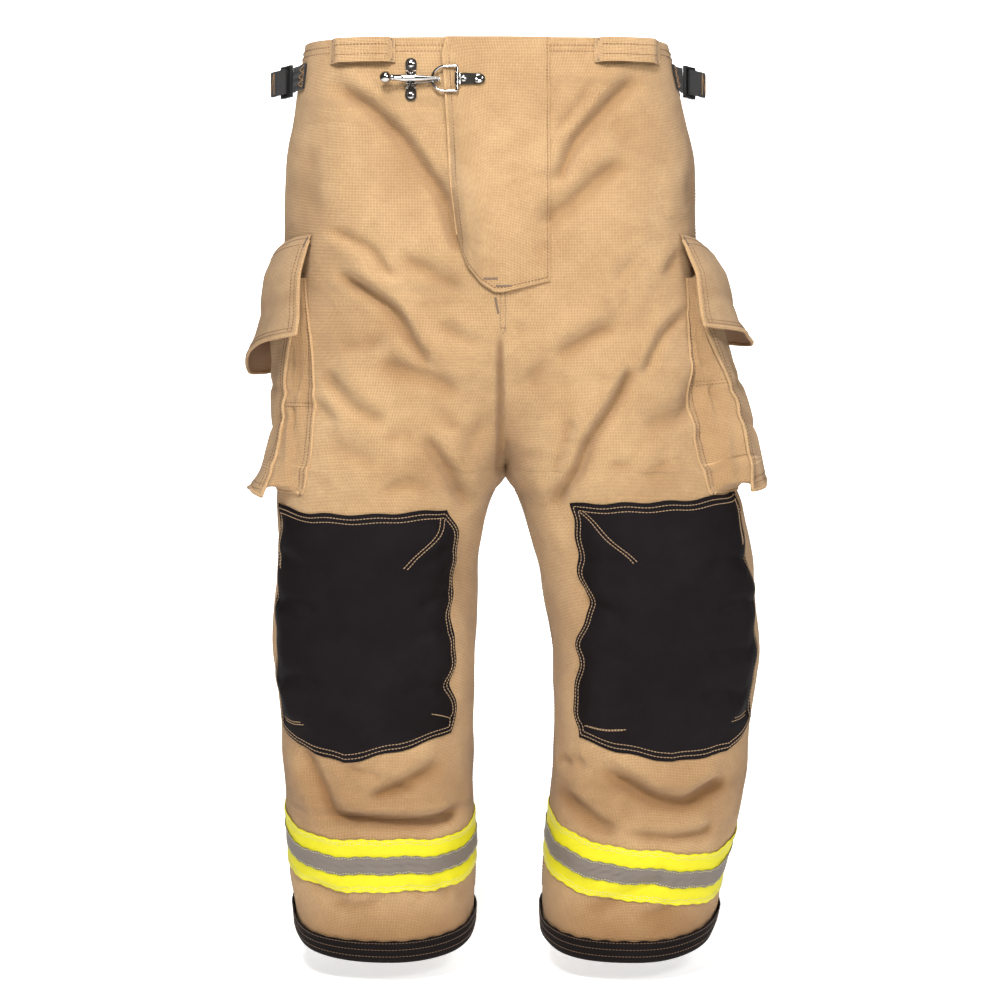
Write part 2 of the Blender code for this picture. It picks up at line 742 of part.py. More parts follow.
def build_hook_plate():
    """The cross-shaped base: two riveted lobes, a raised saddle with the pin's lugs, and a fixed nose."""
    thick = 1.5
    stations = (
        (-21.0, 1.6, 0.0), (-20.2, 3.6, 0.0), (-18.0, 5.2, 0.0), (-15.5, 5.6, 0.0), (-12.0, 5.3, 0.0),
        (-9.0, 4.8, 0.0), (-8.0, 4.8, 1.4), (8.0, 4.8, 1.4), (9.0, 4.8, 0.0),
        (12.0, 5.3, 0.0), (15.5, 5.6, 0.0), (18.0, 5.2, 0.0), (20.2, 3.6, 0.0), (21.0, 1.6, 0.0),
    )
    rings = []
    for up, half, rise in stations:
        low = rise
        ring = [(-half, low), (half, low), (half, low + thick), (-half, low + thick)]
        rings.append([at_hook(u, out, up) for u, out in ring])
    plate = swept("hook_plate", rings, "nickel")
    arm = ((4.0, 1.4, 2.6, 4.2), (14.0, 1.2, 2.6, 3.4), (23.0, 1.0, 2.5, 2.6), (26.4, 1.4, 3.2, 2.2))
    rings = []
    for u, low, high, half in arm:
        ring = ((low, -half), (high, -half), (high, half), (low, half))
        rings.append([at_hook(u, o, t) for o, t in ring])
    tip = ((28.6, 6.2, -1.7), (26.6, 6.6, -1.7), (26.6, 6.6, 1.7), (28.6, 6.2, 1.7))
    rings.append([at_hook(u, o, t) for u, o, t in tip])
    nose = swept("hook_nose_form", rings, "nickel")
    forms = [nose]
    for side in (-1, 1):
        outline = [(-4.2, 1.6), (4.2, 1.6), (4.2, 6.0)]
        for a in (0.0, 0.7, 1.57, 2.44, 3.14):
            outline.append((LUG_RADIUS * math.cos(a), PIVOT_OUT + LUG_RADIUS * math.sin(a)))
        outline += [(-4.2, 6.0)]
        rings = [[at_hook(u, out, side * up) for u, out in outline] for up in (6.2, 7.6)]
        forms.append(swept(f"hook_lug_form_{side}", rings, "nickel"))
    for form_object in forms:
        combine(plate, form_object, "UNION")
    combine(plate, pin_bore("hook_bore_cut"), "DIFFERENCE")
    for up in (-15.5, 15.5):
        hole = cylinder_rings((0, -1, up), (0, 3, up), 2.0, 16)
        combine(plate, swept(f"hook_rivet_cut_{up}", hole, "nickel"), "DIFFERENCE")


def pin_bore(name):
    """A cutter for the lever pin's hole."""
    radius = PIN_RADIUS + PIN_CLEARANCE
    return swept(name, cylinder_rings((0, PIVOT_OUT, -9), (0, PIVOT_OUT, 9), radius, 20), "nickel")


def combine(target, tool, operation):
    """Joins or cuts with another solid, and applies it, so that no cutter is left in the scene."""
    modifier = target.modifiers.new(operation.title(), "BOOLEAN")
    modifier.operation = operation
    modifier.object = tool
    bpy.context.view_layer.update()
    graph = bpy.context.evaluated_depsgraph_get()
    mesh = bpy.data.meshes.new_from_object(target.evaluated_get(graph))
    target.modifiers.clear()
    target.data = mesh
    bpy.data.objects.remove(tool)


def build_hook_lever():
    """The thumb lever: a turned, cigar-shaped body with a neck and a ball, on a cross pin."""
    profile = [(-29.9, 0.0)]
    profile += [(-24.0 - 5.9 * math.cos(a), 5.9 * math.sin(a)) for a in (0.5, 1.0, 1.57, 2.1)]
    profile += [(-19.4, 2.6), (-18.2, 2.5), (-17.6, 3.3), (-16.4, 3.3), (-15.6, 2.8)]
    profile += [(-12.0, 3.3), (-5.0, 3.7), (2.0, 3.65), (10.0, 3.1), (17.0, 2.2)]
    profile += [(21.5, 1.6), (25.5, 1.35), (27.4, 0.9), (28.0, 0.0)]
    pivot = add_pivot("hook_lever_pivot", at_hook(0, PIVOT_OUT, 0))
    lever = revolve("hook_lever", profile, 16, "nickel")
    combine(lever, pin_bore("lever_bore_cut"), "DIFFERENCE")
    lever.parent = pivot
    lever.matrix_parent_inverse = pivot.matrix_world.inverted()


def revolve(name, profile, sides, slot):
    """A turned piece about the lever's own line. The profile starts and ends on the axis."""
    bm = bmesh.new()
    rings = []
    for u, radius in profile:
        if radius == 0.0:
            rings.append([bm.verts.new(at_hook(u, PIVOT_OUT + knob_bend(u), 0))])
            continue
        ring = []
        for k in range(sides):
            angle = math.tau * k / sides
            out = PIVOT_OUT + knob_bend(u) + radius * math.cos(angle)
            place = at_hook(u, out, radius * math.sin(angle))
            ring.append(bm.verts.new(place))
        rings.append(ring)
    for a, b in zip(rings, rings[1:]):
        for k in range(sides):
            n = (k + 1) % sides
            if len(a) == 1:
                bm.faces.new((a[0], b[k], b[n]))
            elif len(b) == 1:
                bm.faces.new((a[k], a[n], b[0]))
            else:
                bm.faces.new((a[k], a[n], b[n], b[k]))
    return add_object(name, finish_mesh(name, bm, 50), slot)


def knob_bend(u):
    """The thumb end stands further off the cloth, which leaves it room to be pressed."""
    return KNOB_RISE * ease((-u - 6.0) / 14.0)


def build_hook_pin():
    swept("hook_pin", cylinder_rings((0, PIVOT_OUT, -8.3), (0, PIVOT_OUT, 8.3), PIN_RADIUS, 20), "nickel")


def build_hook_spring():
    """A small torsion coil on the pin, between the lever and one lug."""
    turns = 2
    steps = 14
    wire = 0.35
    radius = PIN_RADIUS + wire + 0.25
    path = []
    for k in range(turns * steps + 1):
        angle = math.tau * k / steps
        up = 4.3 + 1.4 * k / (turns * steps)
        path.append(at_hook(radius * math.cos(angle), PIVOT_OUT + radius * math.sin(angle), up))
    rings = []
    for k, point in enumerate(path):
        ahead = path[min(k + 1, len(path) - 1)] - path[max(k - 1, 0)]
        rings.append(circle(point, ahead, wire * MM, 6))
    swept("hook_spring", rings, "nickel")


def build_rivet(name, u, base, up, head, hollow=False):
    """A domed rivet: its head rests on the plate and its shank goes down through the hole."""
    profile = [(-RIVET_SHANK, 0.0), (-RIVET_SHANK, 1.7), (0.1, 1.7), (0.1, head)]
    profile += [(0.5, head), (1.2, head * 0.8)]
    profile += [(0.9, head * 0.45), (0.7, 0.0)] if hollow else [(1.7, head * 0.45), (1.9, 0.0)]
    bm = bmesh.new()
    sides = 14
    rings = []
    for out, radius in profile:
        if radius == 0.0:
            rings.append([bm.verts.new(at_hook(u, base + out, up))])
            continue
        angles = [math.tau * k / sides for k in range(sides)]
        ring = [at_hook(u + radius * math.cos(a), base + out, up + radius * math.sin(a)) for a in angles]
        rings.append([bm.verts.new(p) for p in ring])
    for a, b in zip(rings, rings[1:]):
        for k in range(sides):
            n = (k + 1) % sides
            if len(a) == 1:
                bm.faces.new((a[0], b[k], b[n]))
            elif len(b) == 1:
                bm.faces.new((a[k], a[n], b[0]))
            else:
                bm.faces.new((a[k], a[n], b[n], b[k]))
    add_object(name, finish_mesh(name, bm, 50), "nickel")


def build_dee_plate():
    """The dee's strap plate: tapered and riveted, its wide end rolled round the dee's straight bar."""
    bar, out = DEE_BAR_AT, DEE_BAR_OUT
    inner = DEE_WIRE + 0.12
    outer = inner + 1.3
    base = out - outer
    half_wide, half_tip = 5.6, 5.2
    arc = [math.pi * (1.5 - k / 8) for k in range(0, 15)]
    outside = [(bar + outer * math.cos(a), out + outer * math.sin(a)) for a in arc]
    inside = [(bar + inner * math.cos(a), out + inner * math.sin(a)) for a in arc]
    rings = []
    for k in range(len(arc) - 1, -1, -1):
        ring = [(outside[k], -half_wide), (outside[k], half_wide)]
        ring += [(inside[k], half_wide), (inside[k], -half_wide)]
        rings.append([at_hook(u, o, t) for (u, o), t in ring])
    tongue = ((bar + 4.5, half_wide), (bar + 22.0, half_tip), (bar + 25.5, 3.8), (bar + 27.0, 1.6))
    for u, half in tongue:
        ring = [(base, -half), (base, half), (base + 1.3, half), (base + 1.3, -half)]
        rings.append([at_hook(u, o, t) for o, t in ring])
    plate = swept("dee_plate", rings, "nickel")
    for u in (bar + 6.2, bar + 21.0):
        hole = cylinder_rings((u, base - 1, 0), (u, base + 3, 0), 2.0, 16)
        combine(plate, swept(f"dee_rivet_cut_{u}", hole, "nickel"), "DIFFERENCE")
    build_rivet("dee_rivet_inner", bar + 6.2, base + 1.3, 0.0, 3.0)
    build_rivet("dee_rivet_outer", bar + 21.0, base + 1.3, 0.0, 4.4, hollow=True)


def dee_route():
    """The dee's centreline as (distance from its bar, height): the bar, two arms and a round end."""
    reach = DEE_BAR_AT - DEE_ARC_AT
    half = DEE_HALF_HEIGHT
    corner = 1.6
    route = [(0.0, t) for t in (-half + corner, -6.2, 0.0, 6.2, half - corner)]
    route += [(corner * (1 - math.cos(a)), half - corner + corner * math.sin(a)) for a in (0.8, 1.57)]
    straight = reach - half
    for k in range(0, 13):
        angle = math.pi * (0.5 - k / 12)
        route.append((straight + half * math.cos(angle), half * math.sin(angle)))
    route += [(corner * (1 - math.cos(a)), -half + corner - corner * math.sin(a)) for a in (1.57, 0.8)]
    return route


def build_dee():
    pivot = add_pivot("dee_pivot", at_hook(DEE_BAR_AT, DEE_BAR_OUT, 0))
    reach = DEE_BAR_AT - DEE_ARC_AT
    points = []
    for distance, up in dee_route():
        out = mix(DEE_BAR_OUT, DEE_ARC_OUT, distance / reach)
        points.append(at_hook(DEE_BAR_AT - distance, out, up))
    rings = []
    count = len(points)
    plane = (points[0] - points[count // 2]).cross(points[4] - points[0]).normalized()
    for k, point in enumerate(points):
        ahead = (points[(k + 1) % count] - points[k - 1]).normalized()
        across = ahead.cross(plane).normalized()
        ring = []
        for n in range(10):
            angle = math.tau * n / 10
            ring.append(point + (across * math.cos(angle) + plane * math.sin(angle)) * DEE_WIRE * MM)
        rings.append(ring)
    swept("dee_ring", rings, "nickel", pivot, closed=True)


def main():
    for old in list(bpy.data.objects):
        bpy.data.objects.remove(old)
    for side in (RIGHT, LEFT):
        build_shell_panel(side, back=False)
        build_shell_panel(side, back=True)
        build_lining(side)
        build_pocket(side)
        build_knee(side)
        build_trim(side)
        build_cuff(side)
        build_takeup(side)
    build_fly()
    build_suspender_loop("right_front_suspender_loop", -0.134, back=False)
    build_suspender_loop("left_front_suspender_loop", 0.124, back=False)
    build_suspender_loop("right_rear_suspender_loop", -0.075, back=True)
    build_suspender_loop("left_rear_suspender_loop", 0.065, back=True)
    build_hook_plate()
    build_hook_lever()
    build_hook_pin()
    build_hook_spring()
    for place, up in (("upper", 15.5), ("lower", -15.5)):
        build_rivet(f"hook_rivet_{place}", 0.0, 1.5, up, 3.6)
    build_dee_plate()
    build_dee()


main()
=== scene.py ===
"""Looks of the bunker pants: sewn cloth, leather, tape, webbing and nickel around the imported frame."""
import json
import math

import bmesh
import bpy
import numpy as np
from mathutils import Matrix, Vector


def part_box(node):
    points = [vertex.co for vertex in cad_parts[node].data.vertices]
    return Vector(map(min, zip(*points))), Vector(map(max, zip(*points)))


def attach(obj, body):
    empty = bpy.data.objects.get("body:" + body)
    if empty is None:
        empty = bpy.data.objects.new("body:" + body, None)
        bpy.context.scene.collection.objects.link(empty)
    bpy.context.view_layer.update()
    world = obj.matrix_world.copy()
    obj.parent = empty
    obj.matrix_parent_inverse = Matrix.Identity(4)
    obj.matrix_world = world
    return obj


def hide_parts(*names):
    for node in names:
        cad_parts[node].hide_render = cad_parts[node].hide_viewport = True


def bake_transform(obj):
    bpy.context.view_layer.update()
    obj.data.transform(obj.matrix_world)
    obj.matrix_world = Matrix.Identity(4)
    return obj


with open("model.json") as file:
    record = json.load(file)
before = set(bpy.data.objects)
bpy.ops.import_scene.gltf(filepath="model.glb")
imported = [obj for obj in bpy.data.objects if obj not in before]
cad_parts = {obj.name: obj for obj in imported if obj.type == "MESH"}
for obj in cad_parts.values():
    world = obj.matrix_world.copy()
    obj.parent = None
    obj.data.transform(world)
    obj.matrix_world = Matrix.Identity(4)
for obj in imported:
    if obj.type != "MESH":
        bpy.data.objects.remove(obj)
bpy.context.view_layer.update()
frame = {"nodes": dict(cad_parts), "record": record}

MM = 0.001
RIGHT = -1
LEFT = 1
SIDE_NAMES = {RIGHT: "right", LEFT: "left"}
BODY = "pants"

# ---- the body form, as in the CAD, but smoothed ----

CROTCH = -0.425
RISE_START = -0.27
HEM = -0.899
HEM_TILT = 0.12
TILT_START = -0.62
FORM = np.array((
    (0.000, -0.198, 0.000, 0.000, 0.171, 0.128, 0.130, 4.0),
    (-0.060, -0.208, 0.000, 0.000, 0.186, 0.133, 0.134, 3.8),
    (-0.120, -0.2175, 0.000, 0.000, 0.199, 0.137, 0.142, 3.3),
    (-0.180, -0.2210, 0.000, 0.000, 0.202, 0.139, 0.149, 2.9),
    (-0.250, -0.2205, 0.000, 0.000, 0.210, 0.138, 0.149, 2.7),
    (-0.330, -0.2170, 0.002, 0.002, 0.217, 0.132, 0.144, 2.6),
    (-0.375, -0.2190, 0.004, 0.004, 0.225, 0.127, 0.138, 2.5),
    (-0.405, -0.2230, 0.005, 0.005, 0.230, 0.122, 0.132, 2.5),
    (CROTCH, -0.2260, 0.005, 0.007, 0.234, 0.117, 0.126, 2.5),
    (-0.460, -0.2310, -0.011, 0.0206, 0.2480, 0.108, 0.116, 2.4),
    (-0.530, -0.2300, -0.0255, 0.0430, 0.2610, 0.098, 0.103, 2.4),
    (-0.620, -0.2340, -0.0255, 0.0535, 0.2665, 0.095, 0.098, 2.4),
    (-0.690, -0.2250, -0.0290, 0.0550, 0.2570, 0.092, 0.094, 2.4),
    (-0.770, -0.2205, -0.0280, 0.0505, 0.2480, 0.090, 0.092, 2.4),
    (-0.840, -0.2170, -0.0260, 0.0445, 0.2270, 0.092, 0.094, 2.4),
    (-0.915, -0.2030, -0.0300, 0.0420, 0.2130, 0.094, 0.096, 2.4),
))
LEVEL_STEP = 0.002
TOP_PAD = 0.06
DEPTHS = np.arange(-TOP_PAD, 1.0, LEVEL_STEP)


def smooth_form():
    """The form's rows at every LEVEL_STEP, with their corners rounded off."""
    table = FORM.copy()
    first = table[0] + (table[0] - table[1]) * (0.1 / 0.06)
    last = table[-1] + (table[-1] - table[-2]) * (0.1 / 0.075)
    table = np.vstack([first, table, last])
    spread = 4.0
    reach = np.arange(-12, 13)
    kernel = np.exp(-0.5 * (reach / spread) ** 2)
    kernel /= kernel.sum()
    columns = []
    for k in range(1, 8):
        dense = np.interp(DEPTHS, -table[:, 0], table[:, k])
        padded = np.concatenate([
            2 * dense[0] - dense[12:0:-1],
            dense,
            2 * dense[-1] - dense[-2:-14:-1],
        ])
        columns.append(np.convolve(padded, kernel, "valid"))
    # the two legs share one inner line down to the crotch, and part below it
    middle = (columns[1] + columns[2]) / 2
    parted = np.clip((DEPTHS + CROTCH) / 0.024, 0, 1)
    for k in (1, 2):
        columns[k] = middle + (columns[k] - middle) * parted
    return np.array(columns)


SMOOTH = smooth_form()


def form(side, level):
    picks = (0, 1, 4, 5, 6) if side == RIGHT else (3, 2, 4, 5, 6)
    return [np.interp(-level, DEPTHS, SMOOTH[k]) for k in picks]


def section_point(half_width, half_depth, power, angle):
    c, s = np.cos(angle), np.sin(angle)
    r = ((np.abs(c) / half_width) ** power + (np.abs(s) / half_depth) ** power) ** (-1 / power)
    return r * c, r * s


def base_surface(side, angle, level):
    """Points on the form. Angle 0 is the outseam, 90 the leg's front, 180 the inside seam, and minus is behind."""
    angle, level = np.broadcast_arrays(np.asarray(angle, float), np.asarray(level, float))
    outer, inner, front, back, power = form(side, level)
    t = np.clip((RISE_START - level) / (RISE_START - CROTCH), 0.0, 1.0)
    weight = 1 - np.sqrt(np.maximum(1 - t * t, 0.0))
    turn = np.radians(np.abs(angle))
    ahead = angle >= 0
    depth = np.where(ahead, front, back)
    centre = np.where(level >= CROTCH, inner, 0.0)
    seat_x, seat_y = section_point(np.abs(outer - centre), depth, power, turn / 2)
    half = np.abs(outer - inner) / 2
    leg_x, leg_y = section_point(half, depth, power, turn)
    x = (centre + side * seat_x) * (1 - weight) + (outer - side * half + side * leg_x) * weight
    y = seat_y * (1 - weight) + leg_y * weight
    return np.stack([x, np.where(ahead, -y, y), level], -1)


def smoothstep(t):
    t = np.clip(t, 0.0, 1.0)
    return t * t * (3 - 2 * t)


def unit(v):
    return v / np.maximum(np.linalg.norm(v, axis=-1, keepdims=True), 1e-12)


def base_normal(side, angle, level):
    angle, level = np.broadcast_arrays(np.asarray(angle, float), np.asarray(level, float))
    low_angle = np.maximum(angle - 1.5, -180)
    high_angle = np.minimum(angle + 1.5, 180)
    across = base_surface(side, high_angle, level) - base_surface(side, low_angle, level)
    down = base_surface(side, angle, level - 0.002) - base_surface(side, angle, level + 0.002)
    return unit(np.cross(across, down)) * side


# ---- fold relief ----

FIELD_STEP = 0.0015
FIELD_X = np.arange(-0.30, 0.3001, FIELD_STEP)
FIELD_Z = np.arange(0.02, -0.9401, -FIELD_STEP)


def curve_through(points, count=28):
    """A smooth line through given points (Catmull-Rom), evenly sampled."""
    p = np.array(points, float)
    p = np.vstack([2 * p[0] - p[1], p, 2 * p[-1] - p[-2]])
    out = []
    spans = len(p) - 3
    for t in np.linspace(0, spans - 1e-6, count):
        i = int(t)
        f = t - i
        a, b, c, d = p[i:i + 4]
        square = (2 * a - 5 * b + 4 * c - d) * f * f
        cube = (3 * b - a - 3 * c + d) * f ** 3
        out.append(0.5 * (2 * b + (c - a) * f + square + cube))
    return np.array(out)


def add_stroke(field, points, depth, width, ridge=0.55, side=1, start=0.12, end=0.2):
    """Presses one crease into a relief. points are (x, z) in millimetres, depth and width too. The ridge of cloth
    that the crease pushes up lies on its left (side 1) or right (side -1), looking along the points."""
    line = curve_through(points) * MM
    width = width * MM
    reach = 5 * width
    cols = np.where((FIELD_X > line[:, 0].min() - reach) & (FIELD_X < line[:, 0].max() + reach))[0]
    rows = np.where((FIELD_Z > line[:, 1].min() - reach) & (FIELD_Z < line[:, 1].max() + reach))[0]
    gx, gz = np.meshgrid(FIELD_X[cols], FIELD_Z[rows])
    best = np.full(gx.shape, 1e9)
    signed = np.zeros(gx.shape)
    place = np.zeros(gx.shape)
    steps = len(line) - 1
    for k in range(steps):
        a, b = line[k], line[k + 1]
        d = b - a
        length = np.dot(d, d)
        t = np.clip(((gx - a[0]) * d[0] + (gz - a[1]) * d[1]) / length, 0, 1)
        px = gx - a[0] - t * d[0]
        pz = gz - a[1] - t * d[1]
        dist = np.hypot(px, pz)
        closer = dist < best
        best = np.where(closer, dist, best)
        cross = d[0] * pz - d[1] * px
        signed = np.where(closer, dist * np.sign(cross), signed)
        place = np.where(closer, (k + t) / steps, place)
    taper = smoothstep(place / start) * smoothstep((1 - place) / end)
    signed = signed * side
    valley = -np.exp(-(signed / width) ** 2)
    raised = ridge * np.exp(-((signed - 2.0 * width) / (1.5 * width)) ** 2)
    field[np.ix_(rows, cols)] += depth * MM * taper * (valley + raised)


FRONT_CREASES = (
    # seat and thigh of the wearer's right leg: points, depth, width, ridge side
    (((-172, -45), (-147, -56), (-123, -73), (-98, -97), (-74, -130), (-54, -159), (-43, -198), (-30, -227)), 5.5, 7, 1),
    (((-83, -71), (-69, -100), (-59, -125), (-54, -150)), 1.6, 4, 1),
    (((-178, -184), (-152, -195), (-127, -208), (-113, -228), (-100, -240)), 3.4, 5, -1),
    (((-103, -215), (-78, -224), (-54, -237), (-30, -245)), 3.6, 7, 1),
    (((-166, -228), (-147, -238), (-127, -250), (-108, -265), (-96, -280), (-88, -296), (-74, -314), (-62, -326)), 5.0, 6, 1),
    (((-162, -308), (-137, -302), (-106, -294)), 2.6, 6, -1),
    (((-126, -313), (-103, -323), (-78, -331), (-54, -340), (-36, -355)), 4.2, 8, 1),
    (((-180, -321), (-165, -340), (-147, -360), (-127, -371), (-106, -376)), 4.6, 8, 1),
    (((-190, -352), (-174, -367), (-158, -382)), 3.2, 6, 1),
    (((-178, -396), (-147, -406), (-116, -421)), 3.0, 9, 1),
    (((-118, -395), (-98, -390), (-78, -398)), 2.2, 9, -1),
    (((-80, -388), (-64, -406), (-50, -424), (-38, -448), (-30, -472)), 5.4, 6, 1),
    (((-124, -449), (-88, -439), (-64, -451)), 2.2, 6, -1),
    (((-64, -279), (-40, -292), (-14, -303)), 3.8, 6, 1),
    (((-64, -357), (-49, -377), (-42, -388)), 2.2, 6, 1),
    (((-38, -414), (-24, -392), (-14, -372)), 2.2, 7, -1),
    (((-185, -100), (-192, -140), (-188, -176)), 2.4, 12, 1),
    # seat and thigh of the wearer's left leg
    (((98, -38), (80, -63), (64, -83), (51, -100)), 3.2, 5, -1),
    (((142, -37), (118, -53), (95, -78), (75, -102), (61, -132), (55, -147)), 4.6, 7, -1),
    (((130, -122), (108, -131), (88, -146), (69, -164), (49, -176), (36, -190)), 4.4, 9, -1),
    (((49, -200), (29, -218)), 1.8, 5, -1),
    (((162, -181), (178, -180), (190, -182)), 1.4, 5, 1),
    (((137, -213), (122, -228), (108, -244)), 2.0, 6, -1),
    (((182, -203), (172, -220), (163, -238)), 2.8, 5, -1),
    (((122, -283), (98, -288), (74, -301), (48, -312)), 5.0, 8, -1),
    (((48, -312), (34, -330), (24, -339)), 2.4, 6, -1),
    (((130, -317), (125, -335), (108, -365), (88, -394), (76, -424), (58, -450), (48, -470)), 5.2, 6, -1),
    (((193, -264), (172, -279), (157, -296), (147, -318), (137, -340)), 3.2, 5, -1),
    (((127, -380), (157, -375), (182, -367), (197, -340), (207, -330)), 3.2, 9, 1),
    (((193, -399), (208, -384)), 2.0, 5, 1),
    (((104, -419), (134, -419)), 2.6, 5, 1),
    (((137, -433), (172, -413)), 2.2, 5, 1),
    (((70, -365), (66, -394), (54, -428), (46, -458)), 3.2, 7, -1),
    (((10, -274), (24, -293)), 3.0, 4, 1),
    (((21, -416), (46, -406)), 2.0, 5, 1),
    (((60, -60), (48, -76), (40, -90)), 1.2, 6, -1),
    # below the right knee, above and below the trim
    (((-205, -690), (-188, -722), (-176, -746), (-168, -766), (-150, -773)), 5.0, 7, -1),
    (((-170, -767), (-137, -771), (-98, -774), (-58, -774), (-38, -764)), 6.5, 6, 1),
    (((-170, -719), (-142, -723), (-125, -728), (-115, -735)), 3.4, 4, 1),
    (((-140, -760), (-112, -744), (-84, -731), (-50, -716)), 4.6, 7, 1),
    (((-108, -738), (-84, -744)), 2.0, 4, 1),
    (((-200, -832), (-174, -842), (-145, -848)), 3.2, 6, 1),
    (((-180, -858), (-137, -856), (-106, -848)), 3.4, 6, 1),
    (((-94, -834), (-76, -852)), 2.8, 5, 1),
    (((-64, -836), (-45, -856)), 2.8, 5, 1),
    # below the left knee, above and below the trim
    (((94, -722), (126, -735), (152, -750), (185, -755), (212, -742), (232, -734)), 6.0, 8, 1),
    (((68, -706), (78, -717), (88, -720)), 3.0, 4, 1),
    (((58, -715), (75, -725)), 3.0, 4, 1),
    (((54, -746), (74, -762), (98, -778), (122, -784)), 5.0, 7, 1),
    (((120, -786), (160, -790), (200, -788), (218, -780)), 3.6, 5, 1),
    (((58, -833), (102, -840)), 3.0, 6, 1),
    (((74, -866), (110, -852), (147, -838), (170, -832)), 3.6, 8, 1),
    (((127, -866), (157, -864), (176, -856)), 3.0, 6, 1),
)
KNEE_CREASES = (
    (((-216, -505), (-190, -520), (-160, -524)), 3.0, 7, 1),
    (((-222, -560), (-200, -556), (-178, -566)), 3.4, 6, -1),
    (((-52, -500), (-66, -512), (-88, -520)), 3.0, 6, 1),
    (((-45, -548), (-64, -552), (-84, -564)), 3.0, 6, -1),
    (((-46, -590), (-70, -586), (-95, -594)), 3.0, 6, 1),
    (((-222, -640), (-200, -630), (-174, -636)), 3.2, 6, -1),
    (((-50, -645), (-75, -640), (-100, -646)), 3.0, 7, 1),
    (((-150, -680), (-120, -672), (-90, -676)), 2.4, 7, 1),
    (((78, -520), (100, -512), (130, -516)), 3.0, 7, -1),
    (((82, -556), (104, -560), (128, -572)), 3.2, 6, 1),
    (((248, -520), (226, -514), (200, -520)), 3.0, 6, 1),
    (((254, -560), (232, -556), (208, -566)), 3.0, 6, -1),
    (((250, -606), (228, -604), (204, -612)), 3.0, 6, 1),
    (((80, -612), (104, -606), (132, -612)), 3.0, 7, -1),
    (((244, -650), (222, -646), (196, -652)), 3.0, 6, 1),
    (((90, -668), (120, -660), (150, -664)), 2.4, 7, 1),
)
BACK_CREASES = (
    (((-150, -60), (-110, -90), (-70, -130), (-36, -175)), 4.0, 9, 1),
    (((140, -60), (104, -92), (66, -132), (34, -178)), 4.0, 9, -1),
    (((-180, -190), (-130, -215), (-80, -232), (-30, -240)), 4.0, 9, 1),
    (((176, -186), (128, -212), (78, -230), (30, -238)), 4.0, 9, -1),
    (((-18, -260), (-50, -300), (-90, -330), (-150, -344)), 5.0, 9, -1),
    (((20, -262), (54, -302), (96, -332), (160, -346)), 5.0, 9, 1),
    (((-20, -350), (-60, -372), (-110, -384), (-160, -382)), 4.6, 8, 1),
    (((24, -350), (66, -374), (116, -386), (170, -384)), 4.6, 8, -1),
    (((-200, -440), (-160, -456), (-120, -460), (-70, -450)), 4.0, 8, 1),
    (((220, -440), (180, -456), (140, -462), (86, -452)), 4.0, 8, -1),
    (((-205, -520), (-160, -536), (-110, -538), (-60, -524)), 5.0, 8, 1),
    (((-200, -560), (-150, -552), (-100, -560), (-58, -574)), 5.0, 7, -1),
    (((-196, -604), (-150, -616), (-104, -612), (-62, -600)), 5.0, 8, 1),
    (((230, -520), (190, -538), (140, -540), (90, -526)), 5.0, 8, -1),
    (((226, -562), (180, -552), (130, -562), (92, -576)), 5.0, 7, 1),
    (((224, -606), (180, -618), (134, -614), (90, -602)), 5.0, 8, -1),
    (((-190, -690), (-150, -716), (-100, -730), (-56, -726)), 4.4, 8, 1),
    (((222, -690), (180, -716), (130, -732), (84, -726)), 4.4, 8, -1),
    (((-186, -768), (-130, -776), (-70, -768)), 5.0, 7, 1),
    (((212, -770), (160, -780), (96, -772)), 5.0, 7, 1),
    (((-170, -852), (-120, -862), (-70, -852)), 3.4, 7, 1),
    (((190, -852), (140, -864), (90, -856)), 3.4, 7, 1),
)


FOLD_GAIN = 2.0  # how much deeper the folds are pressed than their tables say
LONG_FOLD = 130.0  # millimetres: a fold this long or longer gets the whole gain


def scatter_creases(field, seed, count, low, high):
    """Small unplanned creases, mostly slanting towards the middle."""
    rng = np.random.default_rng(seed)
    for _ in range(count):
        x = rng.uniform(-230, 240)
        z = rng.uniform(low, high)
        slope = rng.normal(0.55, 0.5) * (1 if x < 0 else -1)
        turn = math.atan(-slope)
        reach = rng.uniform(14, 42)
        bend = rng.normal(0, 5)
        dx, dz = math.cos(turn) * reach / 2, math.sin(turn) * reach / 2
        points = ((x - dx, z - dz), (x, z + bend), (x + dx, z + dz))
        depth, width, side = rng.uniform(0.4, 1.1), rng.uniform(3, 6), rng.choice((-1, 1))
        add_stroke(field, points, depth, width, side=side, start=0.4, end=0.4)


def build_fields():
    front = np.zeros((len(FIELD_Z), len(FIELD_X)))
    back = front.copy()
    for field, creases in ((front, FRONT_CREASES), (back, BACK_CREASES)):
        for points, depth, width, side in creases:
            # long folds run deep, and short ones fade out softly at both ends
            reach = min(math.dist(points[0], points[-1]) / LONG_FOLD, 1.0)
            gain = FOLD_GAIN * (0.45 + 0.55 * reach)
            spread = 1.25 - 0.15 * reach
            fade = 0.42 - 0.24 * reach
            add_stroke(field, points, depth * gain, width * spread, side=side, start=fade, end=fade)
    for points, depth, width, side in KNEE_CREASES:
        add_stroke(front, points, depth * 0.9, width, side=side)
    for field, seed in ((front, 11), (back, 23)):
        scatter_creases(field, seed, 120, -455, -60)
        scatter_creases(field, seed + 1, 34, -790, -700)
        scatter_creases(field, seed + 2, 22, -880, -835)
    seam = np.exp(-(FIELD_X / 0.003) ** 2)[None, :]
    run = (smoothstep((-0.285 - FIELD_Z) / 0.02) * smoothstep((FIELD_Z + 0.44) / 0.02))[:, None]
    front -= 0.0075 * seam * run
    back -= 0.0020 * np.exp(-(FIELD_X / 0.006) ** 2)[None, :]
    return front, back


FRONT_FIELD, BACK_FIELD = build_fields()


